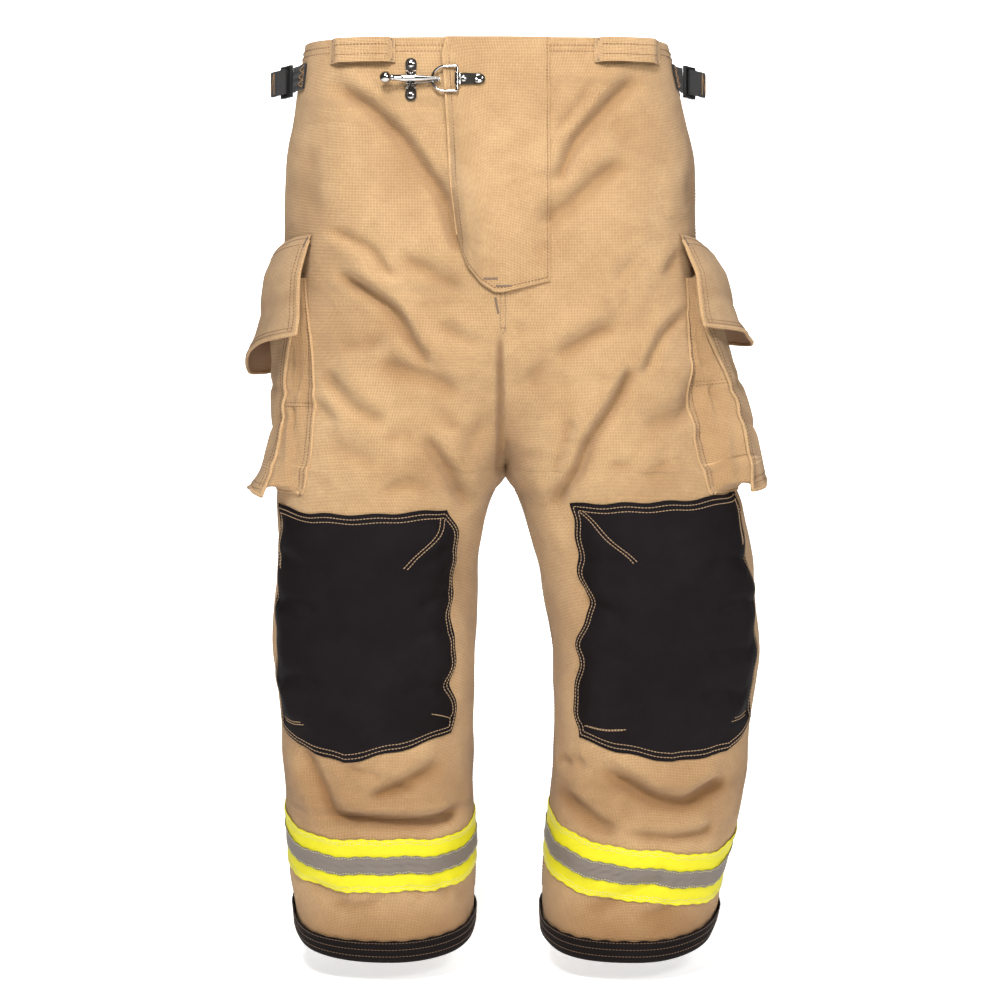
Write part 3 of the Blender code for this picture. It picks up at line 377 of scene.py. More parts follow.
def sample(field, x, z):
    u = np.clip((x - FIELD_X[0]) / FIELD_STEP, 0, len(FIELD_X) - 1.001)
    v = np.clip((FIELD_Z[0] - z) / FIELD_STEP, 0, len(FIELD_Z) - 1.001)
    i, j = v.astype(int), u.astype(int)
    f, g = v - i, u - j
    top = field[i, j] * (1 - g) + field[i, j + 1] * g
    low = field[i + 1, j] * (1 - g) + field[i + 1, j + 1] * g
    return top * (1 - f) + low * f


def make_waves(seed, count, short, long, height):
    rng = np.random.default_rng(seed)
    waves = []
    for _ in range(count):
        direction = rng.normal(size=3) * (1.0, 1.0, 0.8)
        direction /= np.linalg.norm(direction)
        wave = direction * math.tau / rng.uniform(short, long)
        waves.append((wave, rng.uniform(0, math.tau), height / count ** 0.5))
    return waves


WAVES = make_waves(5, 9, 0.09, 0.19, 0.0018) + make_waves(6, 8, 0.035, 0.06, 0.0006)


def relief(point, normal):
    """How far the folded cloth stands off the smooth form."""
    ahead = smoothstep((-normal[..., 1] - 0.05) / 0.4)
    behind = smoothstep((normal[..., 1] - 0.05) / 0.4)
    x, z = point[..., 0], point[..., 2]
    total = ahead * sample(FRONT_FIELD, x, z) + behind * sample(BACK_FIELD, x, z)
    general = np.zeros(x.shape)
    for wave, phase, height in WAVES:
        general += height * np.sin(point @ wave + phase)
    calm = smoothstep((-z - 0.01) / 0.08)
    return total + general * calm


def place(side, angle, level, out=0.0, follow=1.0):
    """Points on the folded cloth and their outward directions, out metres proud of the shell."""
    point = base_surface(side, angle, level)
    normal = base_normal(side, angle, level)
    lift = np.asarray(out, float) + follow * relief(point, normal)
    shift = normal * lift[..., None]
    # above the crotch the two sides stay sewn together at the centre seam
    sewn = smoothstep((180 - np.abs(angle)) / 26)
    shift[..., 0] *= np.where(point[..., 2] > CROTCH - 0.004, sewn, 1.0)
    return point + shift, normal


def angle_of(side, x, level, back=False):
    """The angle at which the form's front (or back) has this X."""
    x, level = np.broadcast_arrays(np.asarray(x, float), np.asarray(level, float))
    turns = np.linspace(0, 180, 121)
    probe = base_surface(side, -turns if back else turns, level[..., None])[..., 0] * side
    want = (x * side)[..., None]
    # probe falls from the outer side to the inner one
    above = (probe >= want).sum(-1) - 1
    i = np.clip(above, 0, len(turns) - 2)
    hi = np.take_along_axis(probe, i[..., None], -1)[..., 0]
    lo = np.take_along_axis(probe, i[..., None] + 1, -1)[..., 0]
    f = np.clip((hi - want[..., 0]) / np.maximum(hi - lo, 1e-9), 0, 1)
    angle = turns[i] + f * (turns[1] - turns[0])
    return -angle if back else angle


def front(x, level, out=0.0, follow=1.0, back=False):
    """As place, for points given by their X on the front (or back) of the trousers."""
    x, level, out = np.broadcast_arrays(np.asarray(x, float), np.asarray(level, float), np.asarray(out, float))
    centre = np.interp(-level, DEPTHS, SMOOTH[1] * 0.5 + SMOOTH[2] * 0.5)
    points = np.zeros(x.shape + (3,))
    normals = np.zeros(x.shape + (3,))
    for side in (RIGHT, LEFT):
        pick = (x < centre) if side == RIGHT else (x >= centre)
        if pick.any():
            angle = angle_of(side, x[pick], level[pick], back)
            p, n = place(side, angle, level[pick], out[pick], follow)
            points[pick], normals[pick] = p, n
    return points, normals


# ---- materials ----


def new_material(name, base, roughness, metallic=0.0, sheen=0.0, specular=0.5):
    made = bpy.data.materials.new(name)
    made.use_nodes = True
    shader = made.node_tree.nodes["Principled BSDF"]
    shader.inputs["Base Color"].default_value = (*base, 1)
    shader.inputs["Roughness"].default_value = roughness
    shader.inputs["Metallic"].default_value = metallic
    shader.inputs["Sheen Weight"].default_value = sheen
    shader.inputs["Specular IOR Level"].default_value = specular
    return made, shader


class Nodes:
    """Short forms for the shader nodes that every material here uses."""

    def __init__(self, material):
        self.tree = material.node_tree

    def link(self, value, socket):
        if hasattr(value, "is_output"):
            self.tree.links.new(value, socket)
        else:
            socket.default_value = value

    def math(self, operation, a, b=0.0, c=0.0, clamp=False):
        node = self.tree.nodes.new("ShaderNodeMath")
        node.operation = operation
        node.use_clamp = clamp
        for value, socket in zip((a, b, c), node.inputs):
            self.link(value, socket)
        return node.outputs[0]

    def mix(self, factor, a, b):
        node = self.tree.nodes.new("ShaderNodeMix")
        node.data_type = "RGBA"
        self.link(factor, node.inputs[0])
        self.link(a if hasattr(a, "is_output") else (*a, 1), node.inputs[6])
        self.link(b if hasattr(b, "is_output") else (*b, 1), node.inputs[7])
        return node.outputs[2]

    def uv(self):
        node = self.tree.nodes.new("ShaderNodeUVMap")
        node.uv_map = "weave"
        split = self.tree.nodes.new("ShaderNodeSeparateXYZ")
        self.tree.links.new(node.outputs[0], split.inputs[0])
        return split.outputs[0], split.outputs[1]

    def uv_vector(self):
        node = self.tree.nodes.new("ShaderNodeUVMap")
        node.uv_map = "weave"
        return node.outputs[0]

    def position(self):
        return self.tree.nodes.new("ShaderNodeTexCoord").outputs["Object"]

    def noise(self, scale, detail=3.0, roughness=0.5, vector=None, stretch=None):
        source = vector if vector is not None else self.position()
        if stretch:
            shape = self.tree.nodes.new("ShaderNodeMapping")
            shape.inputs["Scale"].default_value = stretch
            self.tree.links.new(source, shape.inputs["Vector"])
            source = shape.outputs[0]
        node = self.tree.nodes.new("ShaderNodeTexNoise")
        node.inputs["Scale"].default_value = scale
        node.inputs["Detail"].default_value = detail
        node.inputs["Roughness"].default_value = roughness
        self.tree.links.new(source, node.inputs["Vector"])
        return node.outputs[0]

    def attribute(self, name):
        node = self.tree.nodes.new("ShaderNodeAttribute")
        node.attribute_name = name
        return node.outputs["Fac"]

    def bump(self, height, distance, strength=1.0):
        node = self.tree.nodes.new("ShaderNodeBump")
        node.inputs["Distance"].default_value = distance
        node.inputs["Strength"].default_value = strength
        self.link(height, node.inputs["Height"])
        return node.outputs[0]

    def wave(self, coordinate, pitch, shift=0.0):
        """A sine from -1 to 1 along a coordinate in metres."""
        return self.math("SINE", self.math("MULTIPLY_ADD", coordinate, math.tau / pitch, shift))


CLOTH_ROUGHNESS = 0.9
DEEP_SHARE = (0.80, 0.66, 0.46)  # of the dark colour, painted as shade in the bottom of a fold and wherever else the crease attribute marks shade


def cloth_material(name, light, dark, pitch, contrast=0.8, bump=0.00030, crease=0.35):
    """A woven cloth: small raised cells in rows, threads across them, painted shade in folds and hollows, and uneven
    dye.
    """
    made, shader = new_material(name, light, CLOTH_ROUGHNESS, sheen=0.15, specular=0.25)
    n = Nodes(made)
    u, v = n.uv()
    dots = n.math("MULTIPLY", n.wave(u, pitch), n.wave(v, pitch), clamp=True)
    dots = n.math("ADD", dots, n.math("MULTIPLY", n.wave(u, pitch, math.pi), n.wave(v, pitch), clamp=True))
    cells = n.math("MULTIPLY_ADD", dots, -2.0, 1.0)
    threads = n.math("MULTIPLY", n.wave(u, pitch / 3), n.wave(v, pitch / 3, 1.3))
    slub = n.noise(900, 2.0, 0.6, n.uv_vector(), (1.0, 0.25, 1.0))
    height = n.math("MULTIPLY_ADD", threads, 0.3, cells)
    height = n.math("MULTIPLY_ADD", slub, 0.8, height)
    patchy = n.noise(9.0, 5.0, 0.6)
    fine = n.noise(60.0, 4.0, 0.6)
    tone = n.math("MULTIPLY_ADD", cells, contrast * 0.5, 0.42)
    tone = n.math("MULTIPLY_ADD", n.math("SUBTRACT", slub, 0.5), 0.55, tone)
    tone = n.math("MULTIPLY_ADD", n.math("SUBTRACT", patchy, 0.5), 0.8, tone)
    tone = n.math("MULTIPLY_ADD", n.math("SUBTRACT", fine, 0.5), 0.35, tone, clamp=True)
    colour = n.mix(tone, dark, light)
    # painted shade: the crease attribute mixes in the deep colour where the cloth lies in shade
    painted_shade = n.attribute("crease")
    deep = tuple(c * k for c, k in zip(dark, DEEP_SHARE))
    colour = n.mix(n.math("MULTIPLY", painted_shade, crease, clamp=True), colour, deep)
    n.link(colour, shader.inputs["Base Color"])
    rough = n.math("MULTIPLY_ADD", fine, 0.12, CLOTH_ROUGHNESS - 0.06, clamp=True)
    n.link(rough, shader.inputs["Roughness"])
    n.link(n.bump(height, bump), shader.inputs["Normal"])
    return made


def leather_material(name, base, grain, roughness):
    made, shader = new_material(name, base, roughness, specular=0.12)
    n = Nodes(made)
    cell = n.tree.nodes.new("ShaderNodeTexVoronoi")
    cell.feature = "DISTANCE_TO_EDGE"
    cell.inputs["Scale"].default_value = grain
    n.tree.links.new(n.position(), cell.inputs["Vector"])
    pores = n.noise(grain * 2.5, 3.0, 0.6)
    broad = n.noise(14.0, 4.0, 0.6)
    height = n.math("MULTIPLY_ADD", pores, 0.4, n.math("MINIMUM", cell.outputs["Distance"], 0.12))
    scuff = n.math("MULTIPLY", n.math("SUBTRACT", broad, 0.42, clamp=True), 2.2, clamp=True)
    pale = tuple(c * 1.6 + 0.003 for c in base)
    tone = n.math("MULTIPLY_ADD", n.math("SUBTRACT", pores, 0.5), 0.8, scuff, clamp=True)
    n.link(n.mix(tone, base, pale), shader.inputs["Base Color"])
    n.link(n.math("MULTIPLY_ADD", broad, 0.22, roughness - 0.1, clamp=True), shader.inputs["Roughness"])
    n.link(n.bump(height, 0.0004, 0.8), shader.inputs["Normal"])
    return made


def tape_material(name, base, shade, pitch, roughness, metallic=0.0, glow=0.0):
    """A knitted or coated tape: fine ribs along it and a slight unevenness."""
    made, shader = new_material(name, base, roughness, metallic=metallic, specular=0.4)
    n = Nodes(made)
    u, v = n.uv()
    rib = n.math("MULTIPLY", n.wave(u, pitch), n.wave(v, pitch * 0.7))
    patchy = n.noise(26.0, 4.0, 0.6)
    fine = n.noise(420.0, 2.0, 0.5)
    tone = n.math("MULTIPLY_ADD", rib, 0.16, 0.30)
    tone = n.math("MULTIPLY_ADD", n.math("SUBTRACT", patchy, 0.45), 0.9, tone)
    tone = n.math("MULTIPLY_ADD", n.math("SUBTRACT", fine, 0.5), 0.5, tone, clamp=True)
    n.link(n.mix(tone, base, shade), shader.inputs["Base Color"])
    n.link(n.bump(n.math("MULTIPLY_ADD", fine, 0.7, rib), 0.00012), shader.inputs["Normal"])
    if glow:
        shader.inputs["Emission Color"].default_value = (*base, 1)
        shader.inputs["Emission Strength"].default_value = glow
    return made


def webbing_material(name, base, shade):
    made, shader = new_material(name, base, 0.75, sheen=0.1, specular=0.3)
    n = Nodes(made)
    u, v = n.uv()
    zig = n.math("PINGPONG", v, 0.004)
    twill = n.wave(n.math("ADD", u, zig), 0.0016)
    across = n.wave(v, 0.0011)
    height = n.math("MULTIPLY_ADD", across, 0.4, twill)
    tone = n.math("MULTIPLY_ADD", height, 0.35, 0.4, clamp=True)
    n.link(n.mix(tone, base, shade), shader.inputs["Base Color"])
    n.link(n.bump(height, 0.0002), shader.inputs["Normal"])
    return made


def thread_material(name, base):
    made, shader = new_material(name, base, 0.7, sheen=0.1, specular=0.3)
    n = Nodes(made)
    twist = n.noise(1500.0, 2.0, 0.5, stretch=(1.0, 1.0, 2.5))
    dark = tuple(c * 0.6 for c in base)
    n.link(n.mix(twist, dark, tuple(min(c * 1.25, 1) for c in base)), shader.inputs["Base Color"])
    n.link(n.bump(twist, 0.0001), shader.inputs["Normal"])
    return made


def nickel_material():
    made, shader = new_material("nickel plate", (0.62, 0.61, 0.60), 0.2, metallic=1.0)
    n = Nodes(made)
    cloud = n.noise(180.0, 4.0, 0.6)
    scratch = n.noise(900.0, 3.0, 0.7, stretch=(0.15, 1.0, 1.0))
    tone = n.math("MULTIPLY", cloud, 0.8, clamp=True)
    n.link(n.mix(tone, (0.56, 0.55, 0.54), (0.36, 0.35, 0.34)), shader.inputs["Base Color"])
    n.link(n.math("MULTIPLY_ADD", scratch, 0.12, 0.06, clamp=True), shader.inputs["Roughness"])
    n.link(n.bump(scratch, 0.00001, 0.3), shader.inputs["Normal"])
    return made


def plastic_material():
    made, shader = new_material("moulded plastic", (0.012, 0.012, 0.013), 0.42, specular=0.5)
    n = Nodes(made)
    grain = n.noise(700.0, 3.0, 0.6)
    n.link(n.mix(grain, (0.009, 0.009, 0.010), (0.022, 0.022, 0.023)), shader.inputs["Base Color"])
    n.link(n.math("MULTIPLY_ADD", grain, 0.2, 0.34, clamp=True), shader.inputs["Roughness"])
    n.link(n.bump(grain, 0.00008), shader.inputs["Normal"])
    return made


TAN_LIGHT = (0.720, 0.480, 0.250)
TAN_DARK = (0.300, 0.160, 0.064)
# painted highlight: the turned edges use a lighter copy of the shell cloth
EDGE_LIGHT = tuple(c * 1.12 for c in TAN_LIGHT)
EDGE_DARK = tuple(c * 1.2 for c in TAN_DARK)
SHELL_WEAVE = 0.0030  # metres between the cloth's raised cells
M = {
    "shell": cloth_material("tan shell cloth", TAN_LIGHT, TAN_DARK, SHELL_WEAVE),
    "edge": cloth_material("turned tan edge", EDGE_LIGHT, EDGE_DARK, SHELL_WEAVE),
    "fly": cloth_material("tan fly cloth", TAN_LIGHT, TAN_DARK, SHELL_WEAVE, crease=0.2),
    "liner": cloth_material("pale liner cloth", (0.66, 0.60, 0.46), (0.56, 0.49, 0.36), 0.0016, contrast=0.3),
    "knee": leather_material("black knee leather", (0.0052, 0.0034, 0.0041), 900, 0.78),
    "cuff": leather_material("black cuff leather", (0.0045, 0.0028, 0.0026), 900, 0.78),
    "foam": leather_material("pad cover", (0.05, 0.05, 0.05), 500, 0.9),
    "lime": tape_material("lime tape", (0.74, 0.68, 0.006), (0.60, 0.54, 0.004), 0.0012, 0.6, glow=0.05),
    "silver": tape_material("silver tape", (0.215, 0.180, 0.155), (0.15, 0.125, 0.105), 0.0010, 0.55, metallic=0.1),
    "hook": cloth_material("hook tape", (0.20, 0.14, 0.08), (0.10, 0.07, 0.04), 0.0014, contrast=1.0, bump=0.0004),
    "webbing": webbing_material("black webbing", (0.0085, 0.0080, 0.0085), (0.022, 0.021, 0.022)),
    "nickel": nickel_material(),
    "plastic": plastic_material(),
    # tan thread, painted darker with the shade of its needle holes and grooves
    "tan thread": thread_material("tan thread", (0.20, 0.105, 0.046)),
    "knee thread": thread_material("pale tan thread", (0.46, 0.31, 0.18)),
    "lime thread": thread_material("whitish thread", (0.70, 0.68, 0.36)),
    "cuff thread": thread_material("brown thread", (0.13, 0.075, 0.045)),
    "tack thread": thread_material("grey brown thread", (0.23, 0.155, 0.105)),
    "gold thread": thread_material("gold tan thread", (0.40, 0.22, 0.09)),
}

# ---- mesh builders ----


def to_object(name, verts, faces, material, uvs=None):
    mesh = bpy.data.meshes.new(name)
    mesh.from_pydata(np.asarray(verts).tolist(), [], faces)
    mesh.update()
    mesh.shade_smooth()
    if uvs is not None:
        layer = mesh.uv_layers.new(name="weave")
        layer.data.foreach_set("uv", np.asarray(uvs, np.float32).ravel())
    made = bpy.data.objects.new(name, mesh)
    mesh.materials.append(M[material])
    bpy.context.scene.collection.objects.link(made)
    return made


def sheet_uv(points, ring):
    """Distances along and down a grid of points, in metres, used as its weave coordinates."""
    rows, cols = points.shape[:2]
    wide = np.concatenate([points, points[:, :1]], 1) if ring else points
    steps = np.linalg.norm(np.diff(wide, axis=1), axis=-1)
    u = np.concatenate([np.zeros((rows, 1)), np.cumsum(steps, 1)], 1)
    middle = cols // 2
    u -= u[:, middle:middle + 1]
    down = np.linalg.norm(np.diff(points[:, middle], axis=0), axis=-1)
    v = np.concatenate([[0.0], np.cumsum(down)])
    return u, np.repeat(v[:, None], u.shape[1], 1)


def sheet_mesh(name, outer, inner, material, ring=False, crease=None, lining=0.0):
    """A thin closed cloth between two matching grids of points."""
    rows, cols = outer.shape[:2]
    count = rows * cols
    index = np.arange(count).reshape(rows, cols)
    steps = cols if ring else cols - 1
    j = np.arange(steps)
    k = (j + 1) % cols
    u, v = sheet_uv(outer, ring)
    uv = np.stack([u, v], -1)
    quads = np.stack([index[:-1][:, j], index[:-1][:, k], index[1:][:, k], index[1:][:, j]], -1).reshape(-1, 4)
    quad_uv = np.stack([uv[:-1][:, j], uv[:-1][:, j + 1], uv[1:][:, j + 1], uv[1:][:, j]], 2).reshape(-1, 4, 2)
    faces = [quads, quads[:, ::-1] + count]
    corners = [quad_uv, quad_uv[:, ::-1]]
    for row, flip in ((0, True), (rows - 1, False)):
        rim = np.stack([index[row, j], index[row, k], index[row, k] + count, index[row, j] + count], -1)
        rim_uv = np.stack([uv[row, j], uv[row, j + 1], uv[row, j + 1], uv[row, j]], 1)
        faces.append(rim[:, ::-1] if flip else rim)
        corners.append(rim_uv[:, ::-1] if flip else rim_uv)
    if not ring:
        i = np.arange(rows - 1)
        for col, flip in ((0, False), (cols - 1, True)):
            rim = np.stack([index[i, col], index[i + 1, col], index[i + 1, col] + count, index[i, col] + count], -1)
            rim_uv = np.stack([uv[i, col], uv[i + 1, col], uv[i + 1, col], uv[i, col]], 1)
            faces.append(rim[:, ::-1] if flip else rim)
            corners.append(rim_uv[:, ::-1] if flip else rim_uv)
    faces = np.concatenate(faces)
    corners = np.concatenate(corners)
    # the faces turn outwards if the middle one does
    middle = quads[len(quads) // 2]
    a, b, c = outer.reshape(-1, 3)[middle[:3]]
    thick = a - inner.reshape(-1, 3)[middle[0]]
    if np.dot(np.cross(b - a, c - a), thick) < 0:
        faces, corners = faces[:, ::-1], corners[:, ::-1]
    verts = np.concatenate([outer.reshape(-1, 3), inner.reshape(-1, 3)])
    made = to_object(name, verts, faces.tolist(), material, corners)
    # the crease attribute carries painted shade, and the inner face gets extra painted shade
    values = np.zeros(count) if crease is None else np.asarray(crease, float).ravel()
    layer = made.data.attributes.new("crease", "FLOAT", "POINT")
    layer.data.foreach_set("value", np.concatenate([values, values + lining]).astype(np.float32))
    made.data.set_sharp_from_angle(angle=math.radians(50))
    return made


def finish_piece(made, body, nodes=()):
    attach(made, body)
    if nodes:
        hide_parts(*nodes)
    return made


def laid_piece(name, outer, normal, thick, material, slot, **options):
    """A cloth on the garment, its outer face a grid of points, in place of the CAD solid of its name."""
    made = sheet_mesh(name, outer, outer - normal * thick, material, **options)
    finish_piece(made, BODY, [name])
    return made


DEEP_FOLD = 0.005


def crease_tone(lift):
    """How much painted shade the cloth gets: 1 where the cloth lies DEEP_FOLD or more below the form, 0 on open cloth.
    """
    return np.clip(-lift / DEEP_FOLD, 0.0, 1.0)


def even_path(points, normals, spacing):
    """Evenly spaced places on a line: their centres, directions along it and outward directions."""
    steps = np.linalg.norm(np.diff(points, axis=0), axis=-1)
    along = np.concatenate([[0.0], np.cumsum(steps)])
    count = max(int(along[-1] / spacing), 1)
    at = (np.arange(count) + 0.5) * along[-1] / count
    centre = np.stack([np.interp(at, along, points[:, k]) for k in range(3)], -1)
    out = unit(np.stack([np.interp(at, along, normals[:, k]) for k in range(3)], -1))
    half = 0.5 * along[-1] / count
    ahead = np.stack([np.interp(at + half * 0.5, along, points[:, k]) for k in range(3)], -1)
    behind = np.stack([np.interp(at - half * 0.5, along, points[:, k]) for k in range(3)], -1)
    return centre, unit(ahead - behind), out


STITCH_GAP = 0.0034
STITCH_RING = 5
# along the stitch in its lengths, and the size and rise there in its radii
STITCH_STATIONS = (
    (-0.5, 0.35, -0.6),
    (-0.32, 0.9, 0.1),
    (0.0, 1.0, 0.45),
    (0.32, 0.9, 0.1),
    (0.5, 0.35, -0.6),
)


def stitch_mesh(name, runs, material, length=0.0026, radius=0.00036, body=BODY):
    """Sewn threads, each a short rounded spindle lying on the cloth. runs hold centres, directions and normals."""
    centre = np.concatenate([r[0] for r in runs])
    ahead = np.concatenate([r[1] for r in runs])
    out = np.concatenate([r[2] for r in runs])
    across = unit(np.cross(ahead, out))
    out = unit(np.cross(across, ahead))
    turn = np.arange(STITCH_RING) * math.tau / STITCH_RING
    rings = []
    for along, size, rise in STITCH_STATIONS:
        middle = centre + ahead * (along * length) + out * (rise * radius)
        wheel = np.cos(turn)[None, :, None] * across[:, None] + np.sin(turn)[None, :, None] * out[:, None]
        rings.append(middle[:, None] + wheel * (radius * size))
    verts = np.stack(rings, 1)
    per = len(STITCH_STATIONS) * STITCH_RING
    pattern = []
    for s in range(len(STITCH_STATIONS) - 1):
        for k in range(STITCH_RING):
            n = (k + 1) % STITCH_RING
            a, b = s * STITCH_RING, (s + 1) * STITCH_RING
            pattern.append((a + k, a + n, b + n, b + k))
    starts = np.arange(len(centre)) * per
    quads = (np.array(pattern)[None] + starts[:, None, None]).reshape(-1, 4)
    caps_a = (np.arange(STITCH_RING)[::-1][None] + starts[:, None])
    caps_b = (np.arange(STITCH_RING)[None] + per - STITCH_RING + starts[:, None])
    faces = quads.tolist() + caps_a.tolist() + caps_b.tolist()
    made = to_object(name, verts.reshape(-1, 3), faces, material)
    return finish_piece(made, body) if body else made


def run_on(side, angles, levels, out, spacing=STITCH_GAP, follow=1.0):
    points, normals = place(side, np.asarray(angles, float), np.asarray(levels, float), out, follow)
    return even_path(points, normals, spacing)


def run_front(xs, levels, out, spacing=STITCH_GAP, back=False):
    points, normals = front(np.asarray(xs, float), np.asarray(levels, float), out, back=back)
    return even_path(points, normals, spacing)


def polyline(points, step=2.0):
    """Dense (x, level) values along straight or curved lines through given points in millimetres."""
    p = np.array(points, float)
    length = np.linalg.norm(np.diff(p, axis=0), axis=-1).sum()
    count = max(int(length / step), 4)
    return (curve_through(p, count) if len(p) > 2 else np.linspace(p[0], p[1], count)) * MM


def bar_tack(ends, out, wide=2.4, back=False, pitch=0.62):
    """A dense satin bar between two (x, z) points in millimetres: its threads run across it."""
    a, b = (np.array(e, float) for e in ends)
    length = np.linalg.norm(b - a)
    count = max(int(length / pitch), 2)
    t = (np.arange(count) + 0.5) / count
    line = (a[None] + (b - a)[None] * t[:, None]) * MM
    centre, normal = front(line[:, 0], line[:, 1], out, back=back)
    side_way = np.array([-(b - a)[1], (b - a)[0]]) / length * 0.5 * MM
    ahead, _ = front(line[:, 0] + side_way[0], line[:, 1] + side_way[1], out, back=back)
    return centre, unit(ahead - centre), normal


# ---- cloth panels ----

SHELL = 0.0016


def panel_levels(coarse):
    seat = np.linspace(0.0, RISE_START, int(0.27 / coarse))
    phi = np.linspace(0, math.pi / 2, int(0.20 / coarse))
    rise = RISE_START - np.sin(phi) * (RISE_START - CROTCH)
    leg = np.linspace(CROTCH, HEM, int(0.474 / coarse))
    return np.concatenate([seat, rise[1:], leg[1:]])


def hem_rise(turns):
    """The hem sits a little higher at the outseam and the inseam than in front and behind."""
    outseam = 0.011 * np.exp(-(np.asarray(turns) / 38) ** 2)
    inseam = 0.004 * np.exp(-((180 - np.abs(turns)) / 30) ** 2)
    return outseam + inseam


def fitted_level(side, angle, level):
    """Lets the lowest rows follow the tilted hem."""
    at = base_surface(side, angle, level)
    weight = np.clip((TILT_START - level) / (TILT_START - HEM), 0, 1)
    return level + (HEM_TILT * at[..., 1] + hem_rise(angle)) * weight


FINE = 0.0027
PANEL_COLUMNS = 136


def build_panel(side, back):
    first, last = (-180, 0) if back else (0, 180)
    angle, level = np.meshgrid(np.linspace(first, last, PANEL_COLUMNS), panel_levels(FINE))
    level = fitted_level(side, angle, level)
    outer, normal = place(side, angle, level)
    lift = relief(base_surface(side, angle, level), normal)
    inner = outer - normal * SHELL
    name = f"{SIDE_NAMES[side]}_{'back' if back else 'front'}_shell"
    # painted shade: darker cloth on the calf and just above the hem
    calf_hem_shade = 1.15 * np.exp(-((level + 0.750) / 0.040) ** 2)
    calf_hem_shade = calf_hem_shade + 1.5 * np.exp(-((level + 0.885) / 0.028) ** 2)
    made = sheet_mesh(name, outer, inner, "shell", crease=crease_tone(lift) + calf_hem_shade)
    finish_piece(made, BODY, [name])


def build_lining(side):
    name = SIDE_NAMES[side]
    angle, level = np.meshgrid(np.linspace(-180, 180, 100), panel_levels(0.008))
    keep = (level[:, 0] < -0.044) & (level[:, 0] > -0.864)
    angle, level = angle[keep], level[keep]
    outer, normal = place(side, angle, level, -0.0072)
    made = laid_piece(f"{name}_liner", outer, normal, 0.0022, "liner", "liner_cloth")
    angle, level = np.meshgrid(np.linspace(-180, 180, 120), np.linspace(-0.0012, -0.041, 8))
    outer, normal = place(side, angle, level, -0.0022)
    made = laid_piece(f"{name}_waist_facing", outer, normal, 0.0016, "liner", "liner_cloth")


FLY_RIGHT_EDGE = 0.0485
# how deep the flap reaches at each u, and the X of its free edge at each depth
FLY_BOTTOM = (
    (0.0, 0.06, 0.12, 0.25, 0.40, 0.5, 1.0),
    (0.196, 0.214, 0.226, 0.2405, 0.2490, 0.2490, 0.2385),
)
FLY_FREE_EDGE = (
    (0.0, 0.016, 0.087, 0.140, 0.175, 0.2),
    (-0.0517, -0.0556, -0.0507, -0.0478, -0.0440, -0.0410),
)


def fly_point(u, v):
    """Outline of the fly flap as (x, level): u runs from its free edge to its sewn one, v down."""
    level = -np.interp(u, *FLY_BOTTOM) * v
    edge = np.interp(-np.maximum(level, -0.2), *FLY_FREE_EDGE)
    return edge * (1 - u) + FLY_RIGHT_EDGE * u, level


def fly_height(u):
    return 0.0041 + (0.0020 - 0.0041) * smoothstep((u - 0.55) / 0.4)


def build_fly():
    u, v = np.meshgrid(np.linspace(0, 1, 60), np.linspace(0, 1, 130))
    x, level = fly_point(u, v)
    ripple = 0.0006 * np.sin(v * 19 + 0.7) * smoothstep((0.25 - u) / 0.25)
    outer, normal = front(x, level, fly_height(u) + ripple)
    inner = outer - normal * 0.0015
    base, _ = front(x, level, 0.0, follow=0.0)
    lift = relief(base, normal)
    made = sheet_mesh("fly_flap", outer, inner, "fly", crease=crease_tone(lift))
    finish_piece(made, BODY, ["fly_flap"])
    roll = rolled_edge("fly_edge", outer[:-2, 0], normal[:-2, 0], 0.0012, "edge")
    finish_piece(roll, BODY)
    for name, out in (("fly_loop_tape", 0.0012), ("fly_hook_tape", 0.0021)):
        x, level = np.meshgrid(np.linspace(-0.038, -0.006, 10), np.linspace(-0.075, -0.200, 30))
        outer, normal = front(x, level, out)
        made = laid_piece(name, outer, normal, 0.0007, "hook", "hook_tape")
    v = np.linspace(0.0, 1.0, 120)
    runs = []
    x, level = fly_point(np.full(120, 0.055), v * 0.985)
    runs.append(run_front(x, level, fly_height(0.05) + 0.0002))
    x, level = fly_point(np.full(120, 0.975), v * 0.985)
    runs.append(run_front(x, level, fly_height(0.97) + 0.0002))
    u = np.linspace(0.055, 0.975, 60)
    x, level = fly_point(u, np.full(60, 0.982))
    runs.append(run_front(x, level, fly_height(u) + 0.0002))
    stitch_mesh("fly_stitching", runs, "tan thread")
    tacks = [
        bar_tack(((-16, -236), (-2, -236)), 0.0043),
        bar_tack(((-4, -243), (11, -243)), 0.0043),
    ]
    stitch_mesh("fly_bar_tacks", tacks, "tack thread", length=0.0024, radius=0.0004)
    seam = [
        run_front(*polyline(((0.4, -250), (0.4, -284))).T, 0.0003, 0.0028),
        run_front(*polyline(((5.4, -246), (5.2, -284))).T, 0.0003, 0.0028),
        run_front(*polyline(((0.4, -284), (5.4, -284), (2.6, -290))).T, 0.0003, 0.0022),
        bar_tack(((-4.6, -254), (-1.6, -270)), 0.0006),
    ]
    stitch_mesh("front_seam_stitching", seam, "tack thread", length=0.0023)


